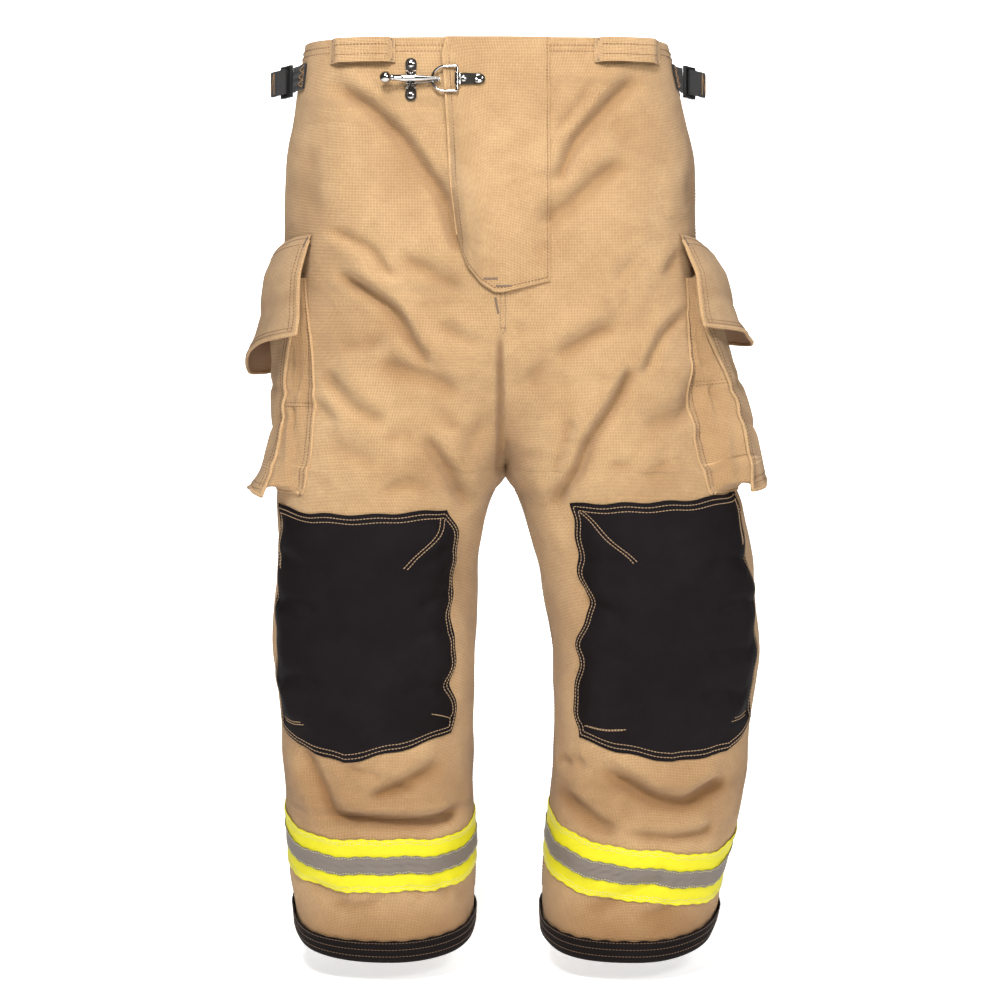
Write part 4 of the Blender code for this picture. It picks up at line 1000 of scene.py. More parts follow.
def build_loop(name, centre_x, back):
    half, high = 32.0, 24.0
    place_u, place_v = np.meshgrid(np.linspace(-1, 1, 60), np.linspace(0, 1, 16))
    rise = 0.0064 * smoothstep((1 - np.abs(place_u)) / 0.34)
    sag = 0.0006 * np.sin(place_v * math.pi) * smoothstep((1 - np.abs(place_u)) / 0.3)
    x = (centre_x + place_u * half) * MM
    level = (-0.8 - high * place_v) * MM
    outer, normal = front(x, level, 0.0024 + rise + sag, back=back)
    made = laid_piece(name, outer, normal, 0.0016, "shell", "shell_cloth")
    runs = []
    for share in (0.30, 0.70):
        x = (centre_x + np.linspace(-0.80, 0.80, 40) * half) * MM
        rise = 0.0064 * smoothstep((1 - np.abs(np.linspace(-0.80, 0.80, 40))) / 0.34)
        runs.append(run_front(x, np.full(40, (-0.8 - high * share) * MM), 0.0026 + rise + 0.0005, back=back))
    stitch_mesh(f"{name}_stitching", runs, "tan thread")
    tacks = []
    for end in (-1, 1):
        for top in (-3.0, -16.0):
            x = centre_x + end * (half - 3.0)
            tacks.append(bar_tack(((x, top), (x, top - 8.0)), 0.0030, back=back))
        x = centre_x + end * (half - 3.0)
        tacks.append(bar_tack(((x - end * 11, -2.6), (x, -2.6)), 0.0042, back=back))
        tacks.append(bar_tack(((x - end * 11, -22.6), (x, -22.6)), 0.0042, back=back))
    stitch_mesh(f"{name}_bar_tacks", tacks, "tack thread", length=0.0026, radius=0.00042)


def build_waist_stitching():
    runs = []
    for side in (RIGHT, LEFT):
        for drop in (-0.0078, -0.0137):
            turns = np.linspace(-180, 180, 400)
            runs.append(run_on(side, turns, np.full(400, drop), 0.0003))
    stitch_mesh("waist_stitching", runs, "tan thread")


def build_seam_stitching():
    runs = []
    for side in (RIGHT, LEFT):
        low = np.linspace(-0.06, -0.86, 260)
        for turn in (-3.5, -6.0):
            runs.append(run_on(side, np.full(260, turn), low, 0.0003))
        inseam = np.linspace(-0.45, -0.86, 150)
        for turn in (-176.0, -173.0):
            runs.append(run_on(side, np.full(150, turn), inseam, 0.0003))
    centre = np.linspace(-0.02, -0.38, 130)
    for x in (0.003, 0.008):
        runs.append(run_front(np.full(130, x), centre, 0.0003, back=True))
    stitch_mesh("seam_stitching", runs, "tan thread")


# ---- pockets ----

POCKET_ANGLE = 50
GUSSET_ANGLE = POCKET_ANGLE - 0.8
POCKET_TOP = -0.232
POCKET_BOTTOM = -0.450
FLAP_TOP = -0.192
FLAP_BOTTOM = -0.304
FLAP_ANGLE = 56


def rounded(points, spread=0.05):
    """A curve through a short table with its corners rounded, as a function of the table's first column."""
    places, values = (np.array(column) for column in zip(*points))
    reach = (places[-1] - places[0]) * 0.5
    dense = np.linspace(places[0] - reach, places[-1] + reach, 401)
    slopes = np.interp(dense, places, values)
    slopes += np.minimum(dense - places[0], 0) * (values[1] - values[0]) / (places[1] - places[0])
    slopes += np.maximum(dense - places[-1], 0) * (values[-1] - values[-2]) / (places[-1] - places[-2])
    window = np.exp(-0.5 * (np.arange(-40, 41) / (spread * 200)) ** 2)
    soft = np.convolve(slopes, window / window.sum(), "same")
    soft[:41], soft[-41:] = slopes[:41], slopes[-41:]
    return lambda at: np.interp(at, dense, soft)


POCKET_BULGE = {
    RIGHT: rounded(((0.0, 0.0100), (0.25, 0.0140), (0.5, 0.0150), (0.75, 0.0125), (0.9, 0.0150), (1.0, 0.0270)), 0.02),
    LEFT: rounded(((0.0, 0.0100), (0.25, 0.0150), (0.5, 0.0260), (0.75, 0.0330), (0.9, 0.0320), (1.0, 0.0285)), 0.04),
}
POCKET_SWEEP = rounded((
    (0.232, 1.0), (0.270, 0.97), (0.300, 0.86), (0.330, 0.72),
    (0.360, 0.65), (0.425, 0.62), (0.450, 0.70),
), 0.02)
FLAP_RISE = rounded(((0.0, 0.0010), (0.12, 0.0080), (0.34, 0.0190), (0.8, 0.0270), (1.0, 0.0340)), 0.02)
FLAP_SWELL = {RIGHT: 1.0, LEFT: 1.2}
GUSSET_SEAM = {RIGHT: -0.357, LEFT: -0.336}


def pocket_share(level):
    return (POCKET_TOP - level) / (POCKET_TOP - POCKET_BOTTOM)


def pocket_out(side, turn, level):
    """How far the panel's cloth stands off the leg, with its soft waves. turn is -1 to 1 across the panel."""
    v = pocket_share(level)
    phase = 0.6 if side == RIGHT else 2.1
    wave = 0.0013 * np.sin(turn * 6.5 + phase + level * 22) + 0.0008 * np.sin(turn * 15 - level * 60 + phase)
    crease = -0.0022 * np.exp(-((level + 0.338 + 0.012 * turn) / 0.006) ** 2)
    crease += -0.0020 * np.exp(-((level + 0.395 - 0.020 * turn) / 0.007) ** 2)
    return POCKET_BULGE[side](v) + (wave + crease) * smoothstep((v - 0.1) / 0.25)


def pocket_place(side, turn, level, proud=0.0):
    turn, level = np.broadcast_arrays(np.asarray(turn, float), np.asarray(level, float))
    angle = turn * POCKET_ANGLE * POCKET_SWEEP(-level)
    return place(side, angle, level, pocket_out(side, turn, level) + proud, follow=0.25)


ROLL_SINK = 0.4  # how far the roll's centre lies below its line, in radii


def rolled_edge(name, points, normals, radius, material):
    """A turned cloth edge: a roll along a line."""
    ahead = unit(np.gradient(points, axis=0))
    across = unit(np.cross(ahead, normals))
    sides = 9
    rings = []
    for k in range(sides):
        a = math.tau * k / sides
        sunk = points - normals * radius * ROLL_SINK
        rings.append(sunk + across * radius * math.cos(a) + normals * radius * math.sin(a))
    grid = np.stack(rings, 1)
    verts = grid.reshape(-1, 3)
    faces = tube_faces(len(points), sides)
    run = np.concatenate([[0], np.cumsum(np.linalg.norm(np.diff(points, axis=0), axis=-1))])
    uvs = [(k % sides / sides * math.tau * radius, run[k // sides]) for face in faces for k in face]
    return fix_outward(to_object(name, verts, faces, material, uvs))


def build_pocket(side):
    name = SIDE_NAMES[side]
    turn, level = np.meshgrid(np.linspace(-1, 1, 84), np.linspace(POCKET_TOP, POCKET_BOTTOM, 110))
    v = pocket_share(level)
    ragged = 0.0022 * np.sin(turn * 5 + side) * smoothstep((v - 0.86) / 0.14)
    outer, normal = pocket_place(side, turn, level + ragged, 0.0016)
    lift = pocket_out(side, turn, level) - POCKET_BULGE[side](v)
    shade = np.clip(-lift / 0.003, 0, 1)
    # painted shade in the panel's hollows, and darker painted shade on its inner face
    made = laid_piece(
        f"{name}_pocket_panel", outer, normal, 0.0015, "shell", "shell_cloth", crease=shade, lining=1.6
    )
    for end in (-1, 1):
        label = "front" if end > 0 else "rear"
        column = -1 if end > 0 else 0
        edge, out = outer[:, column], normal[:, column]
        roll = rolled_edge(f"{name}_pocket_{label}_edge", edge, out, 0.0019, "edge")
        finish_piece(roll, BODY)
    hem = rolled_edge(f"{name}_pocket_lip", outer[-1], normal[-1], 0.0021, "edge")
    finish_piece(hem, BODY)
    build_gusset(side)
    build_flap(side)
    runs = []
    down = np.linspace(POCKET_TOP - 0.004, POCKET_BOTTOM + 0.006, 90)
    wide = np.linspace(-0.95, 0.95, 90)
    for inset in (0.045, 0.105):
        for end in (-1, 1):
            runs.append(even_path(*pocket_place(side, end * (1 - inset), down, 0.0018), STITCH_GAP))
        rise = np.full(90, POCKET_BOTTOM + inset * 0.085)
        runs.append(even_path(*pocket_place(side, wide, rise, 0.0018), STITCH_GAP))
    stitch_mesh(f"{name}_pocket_stitching", runs, "tan thread")


def gusset_route(count_side, count_floor):
    """The bellows' way round the pocket as (angle, level, sideways, down): front side, floor, rear side."""
    edge = GUSSET_ANGLE
    floor = POCKET_BOTTOM + 0.003
    down = np.linspace(POCKET_TOP - 0.002, floor + 0.008, count_side)
    route = [(edge, level, 1.0, 0.0) for level in down]
    for k in range(1, 8):
        a = k / 8 * math.pi / 2
        route.append((edge - 4 * (1 - math.cos(a)), floor + 0.008 - 0.008 * math.sin(a), math.cos(a), math.sin(a)))
    for angle in np.linspace(edge - 4, -edge + 4, count_floor):
        route.append((angle, floor, 0.0, 1.0))
    for k in range(7, 0, -1):
        a = k / 8 * math.pi / 2
        route.append((-edge + 4 * (1 - math.cos(a)), floor + 0.008 - 0.008 * math.sin(a), -math.cos(a), math.sin(a)))
    route += [(-edge, level, -1.0, 0.0) for level in down[::-1]]
    return np.array(route)


def gusset_shape(side, route, across):
    """Angle, level and height on the bellows: across runs from its sewn foot to the panel's edge."""
    angle, level = route[..., 0], route[..., 1]
    sideways, down = route[..., 2], route[..., 3]
    top = pocket_out(side, np.sign(angle), level) + 0.0004
    out = 0.0012 + (top - 0.0012) * np.clip((across - 0.26) / 0.74, 0, 1)
    belly = smoothstep((across - 0.22) / 0.3) * smoothstep((1 - across) / 0.25)
    soft = 0.0014 * np.sin(across * 9.5 + level * 26 + side) + 0.0009 * np.sin(across * 17 - level * 70)
    seam = -0.0018 * np.exp(-((level - GUSSET_SEAM[side]) / 0.0022) ** 2)
    away = level - GUSSET_SEAM[side]
    above = smoothstep((away - 0.004) / 0.010) * smoothstep((0.052 - away) / 0.03)
    below = smoothstep((-0.004 - away) / 0.008) * smoothstep((0.046 + away) / 0.03)
    pleat = -0.0052 * np.exp(-((across - 0.60 + away * 2.0) / 0.085) ** 2) * above
    pleat = pleat - 0.0046 * np.exp(-((across - 0.66 - away * 1.2) / 0.075) ** 2) * below
    out = out + belly * (0.0016 + soft + seam + pleat) * np.abs(sideways)
    swept = angle * (1 + (POCKET_SWEEP(-level) - 1) * across)
    sag = 0.006 * smoothstep((0.45 - across) / 0.4) * smoothstep((-0.42 - level) / 0.02)
    return swept, level + down * belly * 0.004 - sag * np.abs(sideways), out


def build_gusset(side):
    name = f"{SIDE_NAMES[side]}_pocket_gusset"
    columns = 26
    route = np.repeat(gusset_route(110, 60)[:, None], columns, 1)
    across = np.linspace(0, 1, columns)[None]
    angle, level, out = gusset_shape(side, route, across)
    outer, _ = place(side, angle, level, out, follow=0.25 + 0.75 * smoothstep((1 - across) / 0.8))
    away = unit(np.cross(np.gradient(outer, axis=0), np.gradient(outer, axis=1)))
    middle = base_surface(side, 0.0, -0.34)
    flip = np.sign((away * (outer - middle)).sum(-1, keepdims=True).mean())
    shade = 0.25 + 0.5 * np.sin(across * math.pi) * np.ones(angle.shape)
    made = sheet_mesh(name, outer, outer - away * flip * 0.0012, "shell", crease=shade)
    finish_piece(made, BODY, [name])
    foot = rolled_edge(f"{name}_foot", outer[:, 0], away[:, 0] * flip, 0.0013, "edge")
    finish_piece(foot, BODY)
    runs = []
    for end in (1, -1):
        share = np.linspace(0.04, 0.96, 24)
        for drop in (0.0016, 0.0052):
            line = np.zeros((24, 4))
            line[:, 0], line[:, 1], line[:, 2] = end * GUSSET_ANGLE, GUSSET_SEAM[side] - drop, end
            angle, level, out = gusset_shape(side, line, share)
            runs.append(run_on(side, angle, level, out + 0.0004, follow=0.5))
        for share in (0.07, 0.20):
            line = np.zeros((90, 4))
            line[:, 0], line[:, 2] = end * GUSSET_ANGLE, end
            line[:, 1] = np.linspace(POCKET_TOP - 0.004, POCKET_BOTTOM + 0.012, 90)
            angle, level, out = gusset_shape(side, line, np.full(90, share))
            runs.append(run_on(side, angle, level, out + 0.0004, follow=0.25 + 0.75 * (1 - share)))
    stitch_mesh(f"{name}_stitching", runs, "tan thread")


FLAP_HEM = {
    RIGHT: rounded(((-1.0, -0.316), (-0.7, -0.330), (-0.35, -0.331), (0.0, -0.314), (0.5, -0.297), (1.0, -0.287)), 0.03),
    LEFT: rounded(((-1.0, -0.298), (-0.6, -0.304), (-0.3, -0.306), (0.0, -0.299), (0.5, -0.289), (1.0, -0.281)), 0.03),
}


def flap_top(turn):
    """The level of the flap's top, which is highest at its two ends."""
    return FLAP_TOP - 0.015 * (1 - smoothstep(np.abs(turn) / 0.95))


def flap_shape(side, turn, v):
    """Angle, level and height of the flap's cloth. turn is -1 to 1 across it, and v runs down it."""
    angle = turn * FLAP_ANGLE
    lean = np.abs(turn)
    top = flap_top(turn)
    level = top + (FLAP_HEM[side](turn) - top) * v
    share = (FLAP_TOP - level) / (FLAP_TOP - FLAP_BOTTOM)
    out = FLAP_SWELL[side] * FLAP_RISE(share)
    dent = 0.0020 * np.exp(-((v - 0.66 + 0.14 * turn) / 0.09) ** 2) * smoothstep((0.9 - lean) / 0.4)
    ripple = 0.0015 * np.sin(turn * 8 + side + v * 2) * v
    # the hem kicks out, more towards the back
    kick = (0.0030 + 0.0040 * smoothstep((0.2 - turn) / 0.6)) * smoothstep((v - 0.80) / 0.2)
    return angle, level, out - dent + ripple + kick


def flap_place(side, turn, v, proud=0.0):
    turn, v = np.broadcast_arrays(np.asarray(turn, float), np.asarray(v, float))
    angle, level, out = flap_shape(side, turn, v)
    return place(side, angle, level, out + proud, follow=0.2 + 0.8 * smoothstep((0.12 - v) / 0.12))


def ride_flap(made):
    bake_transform(made)


def build_flap(side):
    name = SIDE_NAMES[side]
    body = f"{name}_pocket_flap"
    turn, v = np.meshgrid(np.linspace(-1, 1, 96), np.linspace(0, 1, 72))
    outer, normal = flap_place(side, turn, v, 0.0016)
    shade = np.exp(-((v - 0.62) / 0.07) ** 2) * smoothstep(np.abs(turn) / 0.6) * 0.7
    # painted shade along the flap's dent, and darker painted shade on its inner face
    made = sheet_mesh(body, outer, outer - normal * 0.0018, "shell", crease=shade, lining=2.2)
    ride_flap(made)
    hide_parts(body)
    rim = np.concatenate([outer[:, 0], outer[-1, 1:-1], outer[::-1, -1]])
    rim_normal = np.concatenate([normal[:, 0], normal[-1, 1:-1], normal[::-1, -1]])
    ride_flap(rolled_edge(f"{name}_flap_edge", rim[4:-4], rim_normal[4:-4], 0.0020, "edge"))
    runs = []
    across = np.linspace(-0.97, 0.97, 90)
    for share in (0.035, 0.095, 0.93, 0.965):
        runs.append(even_path(*flap_place(side, across, np.full(90, share), 0.0018), STITCH_GAP))
    for inset in (0.035, 0.075):
        for end in (-1, 1):
            shares = np.linspace(0.1, 0.96, 60)
            runs.append(even_path(*flap_place(side, np.full(60, end * (1 - inset)), shares, 0.0018), STITCH_GAP))
    ride_flap(stitch_mesh(f"{name}_flap_stitching", runs, "tan thread", body=None))
    tacks = []
    for end in (-1, 1):
        line = np.linspace(0.02, 0.12, 12)
        points, normals = flap_place(side, np.full(12, end * 0.975), line, 0.0019)
        beyond, _ = flap_place(side, np.full(12, end * 0.96), line, 0.0019)
        tacks.append((points, unit(beyond - points), normals))
    stitch_mesh(f"{name}_flap_tacks", tacks, "tack thread", length=0.0030, radius=0.00045)
    angle, level = np.meshgrid(np.linspace(-20, 20, 30), np.linspace(-0.262, -0.278, 8))
    turn = angle / FLAP_ANGLE
    top = flap_top(turn)
    outer, normal = flap_place(side, turn, (level - top) / (FLAP_HEM[side](turn) - top), -0.0003)
    made = sheet_mesh(f"{name}_pocket_hook_tape", outer, outer - normal * 0.0009, "hook")
    finish_piece(made, body, [f"{name}_pocket_hook_tape"])
    outer, normal = pocket_place(side, angle / POCKET_ANGLE, level, 0.0027)
    made = laid_piece(f"{name}_pocket_loop_tape", outer, normal, 0.0009, "hook", "hook_tape")


# ---- knees ----


KNEE_EDGE = {
    RIGHT: rounded((
        (0.464, 129.0), (0.500, 139.0), (0.530, 142.0), (0.560, 138.5), (0.600, 141.5),
        (0.640, 139.5), (0.672, 145.0), (0.690, 140.0), (0.716, 136.0),
    ), 0.02),
    LEFT: rounded((
        (0.456, 121.5), (0.500, 129.5), (0.535, 131.5), (0.560, 128.5),
        (0.600, 139.0), (0.650, 142.5), (0.690, 140.0), (0.716, 138.0),
    ), 0.02),
}


def knee_outline(side, u, v):
    """Angle and level of a point on the knee patch: u from its outer to its inner edge, v down."""
    if side == RIGHT:
        top = np.interp(u, (0.0, 0.3, 0.6, 1.0), (-0.460, -0.468, -0.468, -0.464))
        low = np.interp(u, (0.0, 0.15, 0.42, 0.7, 1.0), (-0.686, -0.702, -0.7155, -0.704, -0.689))
    else:
        top = np.interp(u, (0.0, 0.4, 1.0), (-0.4475, -0.4545, -0.458))
        low = np.interp(u, (0.0, 0.2, 0.5, 0.8, 1.0), (-0.680, -0.707, -0.7145, -0.704, -0.694))
    level = top + (low - top) * v
    wave = np.sin(v * 23 + side) * 0.9 + np.sin(v * 41 + 2 * side) * 0.6
    left_edge = 25 + wave * 1.6
    right_edge = KNEE_EDGE[side](-level) + wave * 1.4
    angle = left_edge + (right_edge - left_edge) * u
    ripple = 0.0010 * np.sin(u * 26 + side * 2)
    level = level + ripple * (np.abs(v - 0.5) * 2) ** 4
    return angle, level


def knee_height(u, v):
    dome = smoothstep(np.minimum(u, 1 - u) / 0.14) * smoothstep(np.minimum(v, 1 - v) / 0.16)
    edge = smoothstep(np.minimum(np.minimum(u * 1.6, (1 - u) * 1.6), np.minimum(v, 1 - v)) / 0.02)
    return 0.0005 + 0.0017 * (0.35 + 0.65 * edge) + 0.0068 * dome


# each dart's two ends as (u, v): top outer, top inner, bottom outer, bottom inner
KNEE_DARTS = {
    RIGHT: (
        ((0.03, 0.02), (0.10, 0.26)),
        ((0.97, 0.02), (0.72, 0.23)),
        ((0.05, 0.93), (0.20, 0.885)),
        ((0.965, 0.93), (0.84, 0.875)),
    ),
    LEFT: (
        ((0.03, 0.02), (0.10, 0.21)),
        ((0.97, 0.02), (0.70, 0.23)),
        ((0.05, 0.93), (0.17, 0.885)),
        ((0.965, 0.94), (0.72, 0.90)),
    ),
}


def dart_dip(side, u, v):
    dip = np.zeros(np.broadcast(u, v).shape)
    for (u0, v0), (u1, v1) in KNEE_DARTS[side]:
        du, dv = u1 - u0, v1 - v0
        t = np.clip(((u - u0) * du + (v - v0) * dv) / (du * du + dv * dv), 0, 1)
        gap = np.hypot(u - u0 - t * du, v - v0 - t * dv)
        dip -= 0.0022 * np.exp(-(gap / 0.014) ** 2) * (1 - 0.7 * t)
    return dip


def build_knee(side):
    name = SIDE_NAMES[side]
    u, v = np.meshgrid(np.linspace(0, 1, 110), np.linspace(0, 1, 120))
    angle, level = knee_outline(side, u, v)
    outer, normal = place(side, angle, level, knee_height(u, v) + dart_dip(side, u, v))
    made = laid_piece(f"{name}_knee_patch", outer, normal, 0.0016, "knee", "knee_leather")
    angle, level = np.meshgrid(np.linspace(42, 116, 30), np.linspace(-0.530, -0.672, 40))
    outer, normal = place(side, angle, level, 0.0044)
    made = laid_piece(f"{name}_knee_pad", outer, normal, 0.0038, "foam", "knee_foam")
    runs = []
    for inset in (0.016, 0.034):
        t = np.linspace(0, 1, 130)
        across, down = inset * 1.05, inset
        for us, vs in (
            (across + (1 - 2 * across) * t, np.full(130, down)),
            (across + (1 - 2 * across) * t, np.full(130, 1 - down)),
            (np.full(130, across), down + (1 - 2 * down) * t),
            (np.full(130, 1 - across), down + (1 - 2 * down) * t),
        ):
            angle, level = knee_outline(side, us, vs)
            runs.append(run_on(side, angle, level, knee_height(us, vs) + dart_dip(side, us, vs) + 0.0002))
    for (u0, v0), (u1, v1) in KNEE_DARTS[side]:
        for shift in (-0.008, 0.008):
            t = np.linspace(0.08, 1, 50)
            us, vs = u0 + (u1 - u0) * t + shift, v0 + (v1 - v0) * t + shift * 0.4
            angle, level = knee_outline(side, us, vs)
            runs.append(run_on(side, angle, level, knee_height(us, vs) + dart_dip(side, us, vs) + 0.0003, 0.0032))
    stitch_mesh(f"{name}_knee_stitching", runs, "knee thread", length=0.0027, radius=0.00042)


# ---- trim and cuffs ----

TRIM_LEVEL = {RIGHT: (-0.8145, -0.030), LEFT: (-0.8235, -0.130)}
TRIM_HALF = 0.0254
STRIPE_HALF = 0.0085


def band_level(side, turns, edge):
    middle, slant = TRIM_LEVEL[side]
    at = base_surface(side, turns, np.full(np.shape(turns), middle))
    wobble = 0.0012 * np.sin(np.radians(turns) * 5 + side) + 0.0007 * np.sin(np.radians(turns) * 13 + 2)
    ragged = 0.0005 * np.sin(np.radians(turns) * 47 + edge * 900)
    outseam = np.exp(-(np.asarray(turns) / 26) ** 2) * 0.012
    inseam = np.exp(-((180 - np.abs(turns)) / 24) ** 2) * 0.008
    sides = 0.008 + outseam + inseam
    tilt = HEM_TILT * at[..., 1]
    lean = slant * (at[..., 0] - side * 0.13)
    return middle + edge + tilt + lean + wobble + ragged + sides


def build_trim(side):
    name = SIDE_NAMES[side]
    turns = np.linspace(-180, 180, 221)[:-1]
    for label, half, out, thick, material, slot, wide in (
        ("trim_tape", TRIM_HALF, 0.0014, 0.0008, "lime", "lime_tape", 0.0508),
        ("trim_stripe", STRIPE_HALF, 0.0022, 0.0006, "silver", "silver_tape", 0.0170),
    ):
        edges = np.linspace(half, -half, 14)
        angle = np.repeat(turns[None], 14, 0)
        level = np.array([band_level(side, turns, edge) for edge in edges])
        curl = 0.0004 * (np.abs(edges) / half)[:, None] ** 6
        outer, normal = place(side, angle, level, out + curl)
        made = laid_piece(f"{name}_{label}", outer, normal, thick, material, slot, ring=True)
    runs = []
    around = np.linspace(-180, 180, 330)
    for edge in (TRIM_HALF - 0.0024, TRIM_HALF - 0.0050, -TRIM_HALF + 0.0050, -TRIM_HALF + 0.0024):
        runs.append(run_on(side, around, band_level(side, around, edge), 0.0017, 0.0032))
    for edge in (STRIPE_HALF - 0.0012, -STRIPE_HALF + 0.0012):
        runs.append(run_on(side, around, band_level(side, around, edge), 0.0024, 0.0032))
    stitch_mesh(f"{name}_trim_stitching", runs, "lime thread", length=0.0022, radius=0.00030)
    marks = ((-111, -96, -838),) if side == RIGHT else ((142, 161, -848), (148, 158, -846.5))
    tacks = [bar_tack(((low, level), (high, level + 1)), 0.0004) for low, high, level in marks]
    stitch_mesh(f"{name}_trim_tacks", tacks, "tack thread", length=0.0016, radius=0.0004)


def hem_level(side, turns):
    at = base_surface(side, turns, np.full(np.shape(turns), HEM))
    return HEM + HEM_TILT * at[..., 1] + hem_rise(turns)


CUFF_HEIGHT = 0.0185
CUFF_FACE = 8
CUFF_FOLD = 6


def build_cuff(side):
    name = f"{SIDE_NAMES[side]}_cuff"
    turns = np.linspace(-180, 180, 241)[:-1]
    # down the face, round the fold, and up behind
    section = [(0.0028, CUFF_HEIGHT * k / (CUFF_FACE - 1)) for k in range(CUFF_FACE - 1, -1, -1)]
    bend = np.linspace(0.2, 2.6, CUFF_FOLD)
    section += [(0.0028 * math.cos(a) - 0.0008, -0.0016 - 0.0014 * math.sin(a)) for a in bend]
    section += [(-0.0040, CUFF_HEIGHT * k / 5) for k in range(0, 5)]
    base = hem_level(side, turns)
    ragged = 0.0005 * np.sin(np.radians(turns) * 31 + side)
    outer = []
    inner = []
    for k, (out, rise) in enumerate(section):
        level = base + max(rise, 0.0) + (ragged if k == 0 else 0)
        point, normal = place(side, turns, level, out)
        point[:, 2] += min(rise, 0.0)
        outer.append(point)
        if k < CUFF_FACE:
            inner.append(point - normal * 0.0014)
        elif k < CUFF_FACE + CUFF_FOLD:
            inner.append(point + np.array((0, 0, 0.0014)) - normal * 0.0004)
        else:
            inner.append(point + normal * 0.0012)
    made = sheet_mesh(name, np.array(outer), np.array(inner), "cuff", ring=True)
    finish_piece(made, BODY, [name])
    around = np.linspace(-180, 180, 330)
    base = hem_level(side, around)
    runs = [run_on(side, around, base + CUFF_HEIGHT * share, 0.0031) for share in (0.20, 0.55, 0.90)]
    stitch_mesh(f"{name}_stitching", runs, "cuff thread", radius=0.00040)


# ---- take-up straps ----

WEB = 0.0254
WEB_THICK = 0.0016
STRAP_MIDDLE = -0.0337


def reach_buckle(side, outer, normal):
    """Adds the short free run of webbing between the anchor's sewn part and the buckle's bar."""
    edge = outer[:, :1]
    bar = edge.copy()
    bar[..., 0], bar[..., 1] = frame_corner(side)[:2]
    along = unit(edge - bar)
    across = np.stack([along[..., 1], -along[..., 0], 0 * along[..., 2]], -1)
    across *= np.sign((across * normal[:, :1]).sum(-1, keepdims=True))
    share = np.linspace(0, 1, 8)[None, :-1, None]
    start = bar + along * 0.0030 + across * WEB_THICK / 2
    free = start + (edge - start) * share
    facing = unit(across + (normal[:, :1] - across) * share)
    return np.concatenate([free, outer], 1), np.concatenate([facing, normal], 1)


def build_takeup(side):
    name = SIDE_NAMES[side]
    rows = STRAP_MIDDLE + np.linspace(WEB / 2, -WEB / 2, 12)
    for label, first, last, count in (("takeup_anchor", 34, 48, 16), ("takeup_strap", -100, 8, 90)):
        angle, level = np.meshgrid(np.linspace(first, last, count), rows)
        outer, normal = place(side, angle, level, 0.0027)
        if label == "takeup_anchor":
            outer, normal = reach_buckle(side, outer, normal)
        made = laid_piece(f"{name}_{label}", outer, normal, WEB_THICK, "webbing", "webbing")
    runs = []
    bends = np.linspace(0, 1, 7)
    turns = np.interp(np.linspace(0, 1, 70), bends, (46.8, 39.5, 46.8, 39.5, 46.8, 39.5, 46.8))
    levels = STRAP_MIDDLE + np.linspace(WEB / 2 - 0.002, -WEB / 2 + 0.002, 70)
    runs.append(run_on(side, turns, levels, 0.0030, 0.0020))
    runs.append(run_on(side, np.full(20, 46.9), levels[::-3][:20], 0.0030, 0.0024))
    for turn in (-96.0, -93.5, -70.0):
        levels = STRAP_MIDDLE + np.linspace(WEB / 2 - 0.002, -WEB / 2 + 0.002, 20)
        runs.append(run_on(side, np.full(20, turn), levels, 0.0030, 0.0016))
    stitch_mesh(f"{name}_takeup_stitching", runs, "gold thread", length=0.0016, radius=0.0004)
    corner = Vector(frame_corner(side))
    swing = math.radians(24)
    back_way = Vector((side * math.sin(swing), math.cos(swing), 0.0))
    out_way = Vector((side * math.cos(swing), -math.sin(swing), 0.0))
    tail_piece(side, corner, back_way, out_way)
    dress(f"{name}_takeup_buckle", 0.0006, "plastic")


def frame_corner(side):
    """The buckle's corner on its own joint's axis."""
    name = SIDE_NAMES[side]
    low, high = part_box(f"{name}_takeup_buckle")
    joints = frame["record"]["behaviour"]["joints"]
    x, y, _ = next(j for j in joints if j["name"] == f"{name}_buckle_tilt")["pos_m"]
    return x, y, (low[2] + high[2]) / 2


def dress(node, width, material):
    """Gives a CAD node its material, and rounded edges if width isn't 0."""
    made = frame["nodes"][node]
    if width:
        bevel = made.modifiers.new("Bevel", "BEVEL")
        bevel.width = width
        bevel.segments = 3
        bevel.limit_method = "ANGLE"
        bevel.angle_limit = math.radians(35)
        bevel.harden_normals = False
    made.data.materials.clear()
    made.data.materials.append(M[material])


